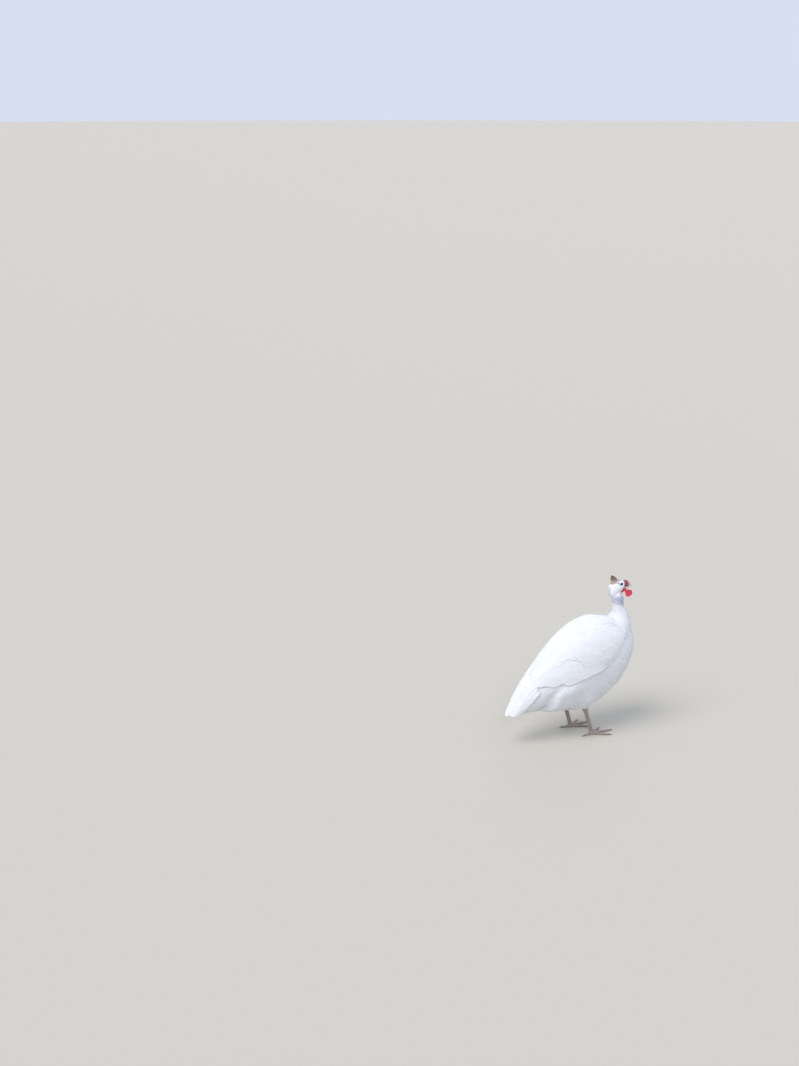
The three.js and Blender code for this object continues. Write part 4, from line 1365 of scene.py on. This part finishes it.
def wattle_place(side):
    root, middle, across = (np.array([x, side * y, z], float) for x, y, z in WATTLE.values())
    across /= np.linalg.norm(across)
    down = middle - root
    reach = np.linalg.norm(down)
    down /= reach
    face = np.cross(across, down)
    face *= np.sign(face[1] * side) / np.linalg.norm(face)
    long = reach + 7.5

    def place(t, angle):
        closed = round_ends(t, 0.1, 0.4)
        wide = mix(3.6, 10.6, ease(t, 0.18, 0.72)) * closed
        off = wide * np.cos(angle)
        rim = 1 + 0.5 * np.cos(angle) ** 4 * ease(t, 0.3, 0.7)
        thick = mix(2.3, 1.15, ease(t, 0, 0.5)) * closed * rim
        fold = 0.35 * np.sin(off * 0.95 + 2.5 * t) * ease(t, 0.15, 0.5) + 0.2 * np.sin(t * 17 + off * 0.3)
        cup = 0.03 * off * off * ease(t, 0.2, 0.8) + 1.6 * (t - 0.55) ** 2 + fold
        edge = 1 + 0.03 * np.sin(9 * angle + 4 * t)
        point = root + np.outer(t * long, down) + np.outer(off * edge, across)
        return in_head(point + np.outer(cup + thick * np.sin(angle), face))

    return place


def wattle_tint(points):
    z = to_head(points)[:, 2]
    lobe = 0.5 * ease(-z, 26, 36), (0.72, 0.07, 0.11)
    # Near the jaw the strap is painted a darker red: painted shade under the jaw.
    strap_shade = 0.6 * (1 - ease(-z, 14, 22)), (0.50, 0.10, 0.14)
    return painted(points, (0.62, 0.035, 0.075), lobe, strap_shade)


WATTLE_SKIN = flesh_finish("red wattle", 0.42, 1400.0, 0.00025)
for side_name, side in SIDES.items():
    lobe_bm = ball(wattle_place(side), 64, 72)
    add_tinted(f"wattle_lobe_{side_name}", lobe_bm, wattle_tint, WATTLE_SKIN, "wattle", f"wattle_{side_name}")

# %% [markdown]
# An eye is a ball with a dark brown iris round a black pupil, under a wet coat. The rings are painted by
# the distance from the line on which the eye looks out.

# %% Eyes
PUPIL, IRIS = 2.0, 3.0


def eye_place(side):
    centre = np.array([EYE["x"], side * EYE["side"], EYE["z"]])

    def place(t, angle):
        bulge = 1 + 0.06 * hill(t, 0.22)
        ring = np.sin(math.pi * t) * EYE["radius"]
        out = side * np.cos(math.pi * t) * EYE["radius"] * bulge
        return in_head(centre + np.stack([ring * np.cos(angle), out, ring * np.sin(angle)], -1))

    return place


def eye_tint(points):
    x, _, z = to_head(points).T
    ring = away_from(EYE, x, z)
    pupil = 1 - ease(ring, PUPIL, PUPIL + 0.25), (0.003, 0.003, 0.004)
    rim = ease(ring, IRIS, IRIS + 0.4), (0.004, 0.003, 0.004)
    return painted(points, (0.016, 0.008, 0.006), pupil, rim)


EYE_GLOSS = finish(
    "wet eye", 0.2, (3000.0, 1.2, 0.7), Coat_Weight=0.5, Coat_Roughness=0.03, Specular_IOR_Level=0.18
)
for side_name, side in SIDES.items():
    eye_bm = ball(eye_place(side), 48, 40)
    add_tinted(f"eyeball_{side_name}", eye_bm, eye_tint, EYE_GLOSS, "eye", f"eye_{side_name}")

# %% [markdown]
# Legs and toes are covered in horny scales: broad plates down the front of the shank and the top of each
# toe, small ones elsewhere. The plates are raised steps in the form and the small scales are a cell bump.

# %% Legs
LEG = dict(spread=34, hock_back=24, hock_z=82, wide=4.6, deep=5.6, hock=7.6, pad=8.5, pad_high=9, sole=7.0)
FRONT_PLATES, BACK_PLATES, TOE_PLATE = 17, 26, 3.2
TOES = {
    "middle": dict(long=46, angle=3, radius=4.3),
    "inner": dict(long=33, angle=-30, radius=3.9),
    "outer": dict(long=36, angle=34, radius=3.9),
    "hind": dict(long=13, angle=172, radius=3.3),
}


def plates(way, count):
    """Overlapping plates: each rises slowly and drops at its edge."""
    step = (way * count) % 1
    return step * (1 - ease(step, 0.86, 1.0))


def shank_place(side):
    def place(t, angle):
        z = mix(-6.0, LEG["hock_z"], t)
        lean = -LEG["hock_back"] * np.maximum(0, z - LEG["pad_high"]) / (LEG["hock_z"] - LEG["pad_high"])
        knob = hill(t - 0.93, 0.09)
        foot = np.exp(-np.abs(z / LEG["pad_high"]) ** 2.6)
        closed = round_ends(t, 0.02, 0.06)
        front = ease(np.cos(angle), 0.0, 0.35) * ease(z, 7, 12)
        back = ease(-np.cos(angle), 0.2, 0.5) * ease(z, 9, 14)
        small = np.sin(t * 130 + 3 * np.cos(angle)) * np.sin(angle * 9)
        plate = 0.8 * plates(1 - t, FRONT_PLATES) * front + 0.35 * plates(1 - t, BACK_PLATES) * back
        plate += 0.14 * small * (1 - front) * (1 - back)
        wide = mix(mix(LEG["wide"], LEG["sole"], foot), LEG["hock"], knob) * closed
        deep = mix(mix(LEG["deep"], LEG["sole"], foot), LEG["hock"] + 1, knob) * closed
        grow = (plate - 0.3) * closed
        x = foot_x(side) + lean + (deep + grow) * np.cos(angle)
        y = side * LEG["spread"] + (wide + grow) * np.sin(angle)
        return in_body(np.stack([x, y, np.maximum(z, 0)], -1))

    return place


def turned(points, turn):
    """Points turned about the upright axis."""
    x, y, z = points.T
    return np.stack([x * math.cos(turn) - y * math.sin(turn), y * math.cos(turn) + x * math.sin(turn), z], -1)


def foot_place(side):
    return np.array([foot_x(side), side * LEG["spread"], 0])


def toe_frame(side, toe, points):
    """From a toe's own millimetres, where it points along X from the foot's middle, to metres."""
    return in_body(turned(points, math.radians(side * toe["angle"])) + foot_place(side))


def toe_local(side, toe, points):
    """Back from metres to a toe's own millimetres."""
    at_foot = points / MM - np.array([SHIFT, 0, 0]) - foot_place(side)
    return turned(at_foot, -math.radians(side * toe["angle"]))


def toe_place(side, toe):
    reach = LEG["pad"] + 0.3
    joints = toe["long"] / 15

    def place(t, angle):
        x = mix(1, reach + toe["long"] + 1.2, t)
        knuckle = 1 + 0.09 * np.cos(t * joints * 2 * math.pi)
        r = mix(toe["radius"], toe["radius"] * 0.58, t) * knuckle * round_ends(t, 0.05, 0.05)
        up = ease(np.sin(angle), -0.1, 0.4)
        plate = 0.6 * plates(x / TOE_PLATE, 1) * up * ease(x, 5, 9) * round_ends(t, 0.05, 0.08)
        y = (r + plate * 0.5) * np.cos(angle)
        z = toe["radius"] * mix(1, 0.6, t) * 0.8 + (r + plate - 0.2) * np.sin(angle)
        return toe_frame(side, toe, np.stack([x, y, np.maximum(z, 0)], -1))

    return place


def claw_place(side, toe):
    start = LEG["pad"] + toe["long"] - 0.4

    def place(t, angle):
        r = mix(2.2, 0.5, t) * round_ends(t, 0.1, 0.06)
        high = toe["radius"] * 0.56 + 0.6 * np.sin(1.3 * t) - 1.4 * t * t
        groove = 1 - 0.08 * hill(np.sin(angle) + 1, 0.3)
        x = mix(start - 2, start + 10, t)
        z = np.maximum(high + r * groove * np.sin(angle), 0)
        return toe_frame(side, toe, np.stack([x, 0.8 * r * np.cos(angle), z], -1))

    return place


LEG_BROWN, PLATE_EDGE, SOLE_BROWN = (0.30, 0.25, 0.215), (0.13, 0.10, 0.085), (0.38, 0.32, 0.27)


def leg_tint(points):
    z = points[:, 2] / MM
    step = ((LEG["hock_z"] - z) / (LEG["hock_z"] + 6) * FRONT_PLATES) % 1
    edges = 0.6 * (hill(step - 1, 0.1) + hill(step, 0.08)) * ease(z, 7, 12), PLATE_EDGE
    hock = 0.45 * ease(z, 60, 82), (0.44, 0.37, 0.34)
    sole = 0.5 * (1 - ease(z, 0, 3)), SOLE_BROWN
    return painted(points, LEG_BROWN, edges, hock, sole)


def toe_tint(side, toe):
    def tint_of(points):
        x, _, z = toe_local(side, toe, points).T
        step = (x / TOE_PLATE) % 1
        edges = 0.6 * (hill(step - 1, 0.12) + hill(step, 0.08)) * ease(z, 1.5, 3) * ease(x, 5, 9), PLATE_EDGE
        sole = 0.5 * (1 - ease(z, 0, 2.5)), SOLE_BROWN
        return painted(points, LEG_BROWN, edges, sole)

    return tint_of


def claw_tint(points):
    return painted(points, (0.10, 0.08, 0.07))


SCALES = finish("leg scales", 0.52, (330.0, 1.2, 0.75), ("Voronoi", 1300.0, 0.4, 0.00022))
CLAW_HORN = finish("claw horn", 0.35, (500.0, 1.3, 0.8), ("Noise", 1400.0, 0.4, 0.0001), drawn=(0.3, 1, 1))
for side_name, side in SIDES.items():
    leg_bm = ball(shank_place(side), 48, 240)
    add_tinted(f"leg_{side_name}", leg_bm, leg_tint, SCALES, "leg_skin", f"shank_{side_name}")
    for toe_name, toe in TOES.items():
        name = f"{side_name}_{toe_name}"
        toe_bm, claw_bm = ball(toe_place(side, toe), 32, 160), ball(claw_place(side, toe), 24, 24)
        add_tinted(f"{name}_toe", toe_bm, toe_tint(side, toe), SCALES, "leg_skin", f"toe_{name}")
        add_tinted(f"{name}_claw", claw_bm, claw_tint, CLAW_HORN, "claw", f"claw_{name}")

# %% [markdown]
# The camera stands where the photographer stood: eye height, almost four metres away, looking down a
# little. Its lens gives the photograph's field of view.

# %% Camera
EYE_HEIGHT, DISTANCE, ASIDE = 1.65, 3.90, 0.465
TURN, PITCH = math.radians(27), math.radians(15.9)
RIGHT = Vector((math.cos(TURN), -math.sin(TURN), 0))
AWAY = Vector((math.sin(TURN), math.cos(TURN), 0))
UP = Vector((0, 0, 1))
FEET = Vector(((foot_x(1) + SHIFT) * MM, 0, 0))

camera_data = bpy.data.cameras.new("camera")
camera_data.lens = 54.2
camera_data.sensor_width = 36.0
camera = linked("camera", camera_data)
bpy.context.scene.camera = camera
camera.location = FEET - AWAY * DISTANCE - RIGHT * ASIDE + UP * EYE_HEIGHT
look = AWAY * math.cos(PITCH) - UP * math.sin(PITCH)
camera.rotation_euler = look.to_track_quat("-Z", "Y").to_euler()
print("camera", camera.location)

# %% [markdown]
# The floor is plain, pale and as warm as straw. A low-contrast daylight falls on it: a wide soft sun from
# the camera's upper left, a weak small one from the camera's own side, which puts the catchlight in the
# eye, a wide weak one from behind, and a cool sky all round, so the back is almost white and the breast is
# cool.

# %% Floor and light
floor_bm = bmesh.new()
bmesh.ops.create_circle(floor_bm, cap_ends=True, segments=96, radius=60)
floor = linked("floor", to_mesh(floor_bm, "floor"))
floor.data.materials.append(new_material("pale floor", 0.9, Base_Color=(0.50, 0.47, 0.41, 1))[0])


def sun(name, from_place, strength, spread, colour):
    data = bpy.data.lights.new(name, "SUN")
    data.energy, data.angle, data.color = strength, math.radians(spread), colour
    linked(name, data).rotation_euler = (-Vector(from_place)).to_track_quat("-Z", "Y").to_euler()


sun("key", (-0.6, -0.2, 0.85), 2.05, 35, (1.0, 0.975, 0.94))
sun("fill", (-0.35, -0.9, 0.6), 0.4, 11, (0.9, 0.95, 1.0))
sun("rim", (0.7, 0.8, 0.5), 0.35, 40, (0.93, 0.96, 1.0))
world = bpy.data.worlds.new("sky")
bpy.context.scene.world = world
world.use_nodes = True
sky = world.node_tree.nodes["Background"].inputs
sky["Color"].default_value = (0.77, 0.84, 1.0, 1)
sky["Strength"].default_value = 0.88
bpy.context.scene.view_settings.view_transform = "Standard"
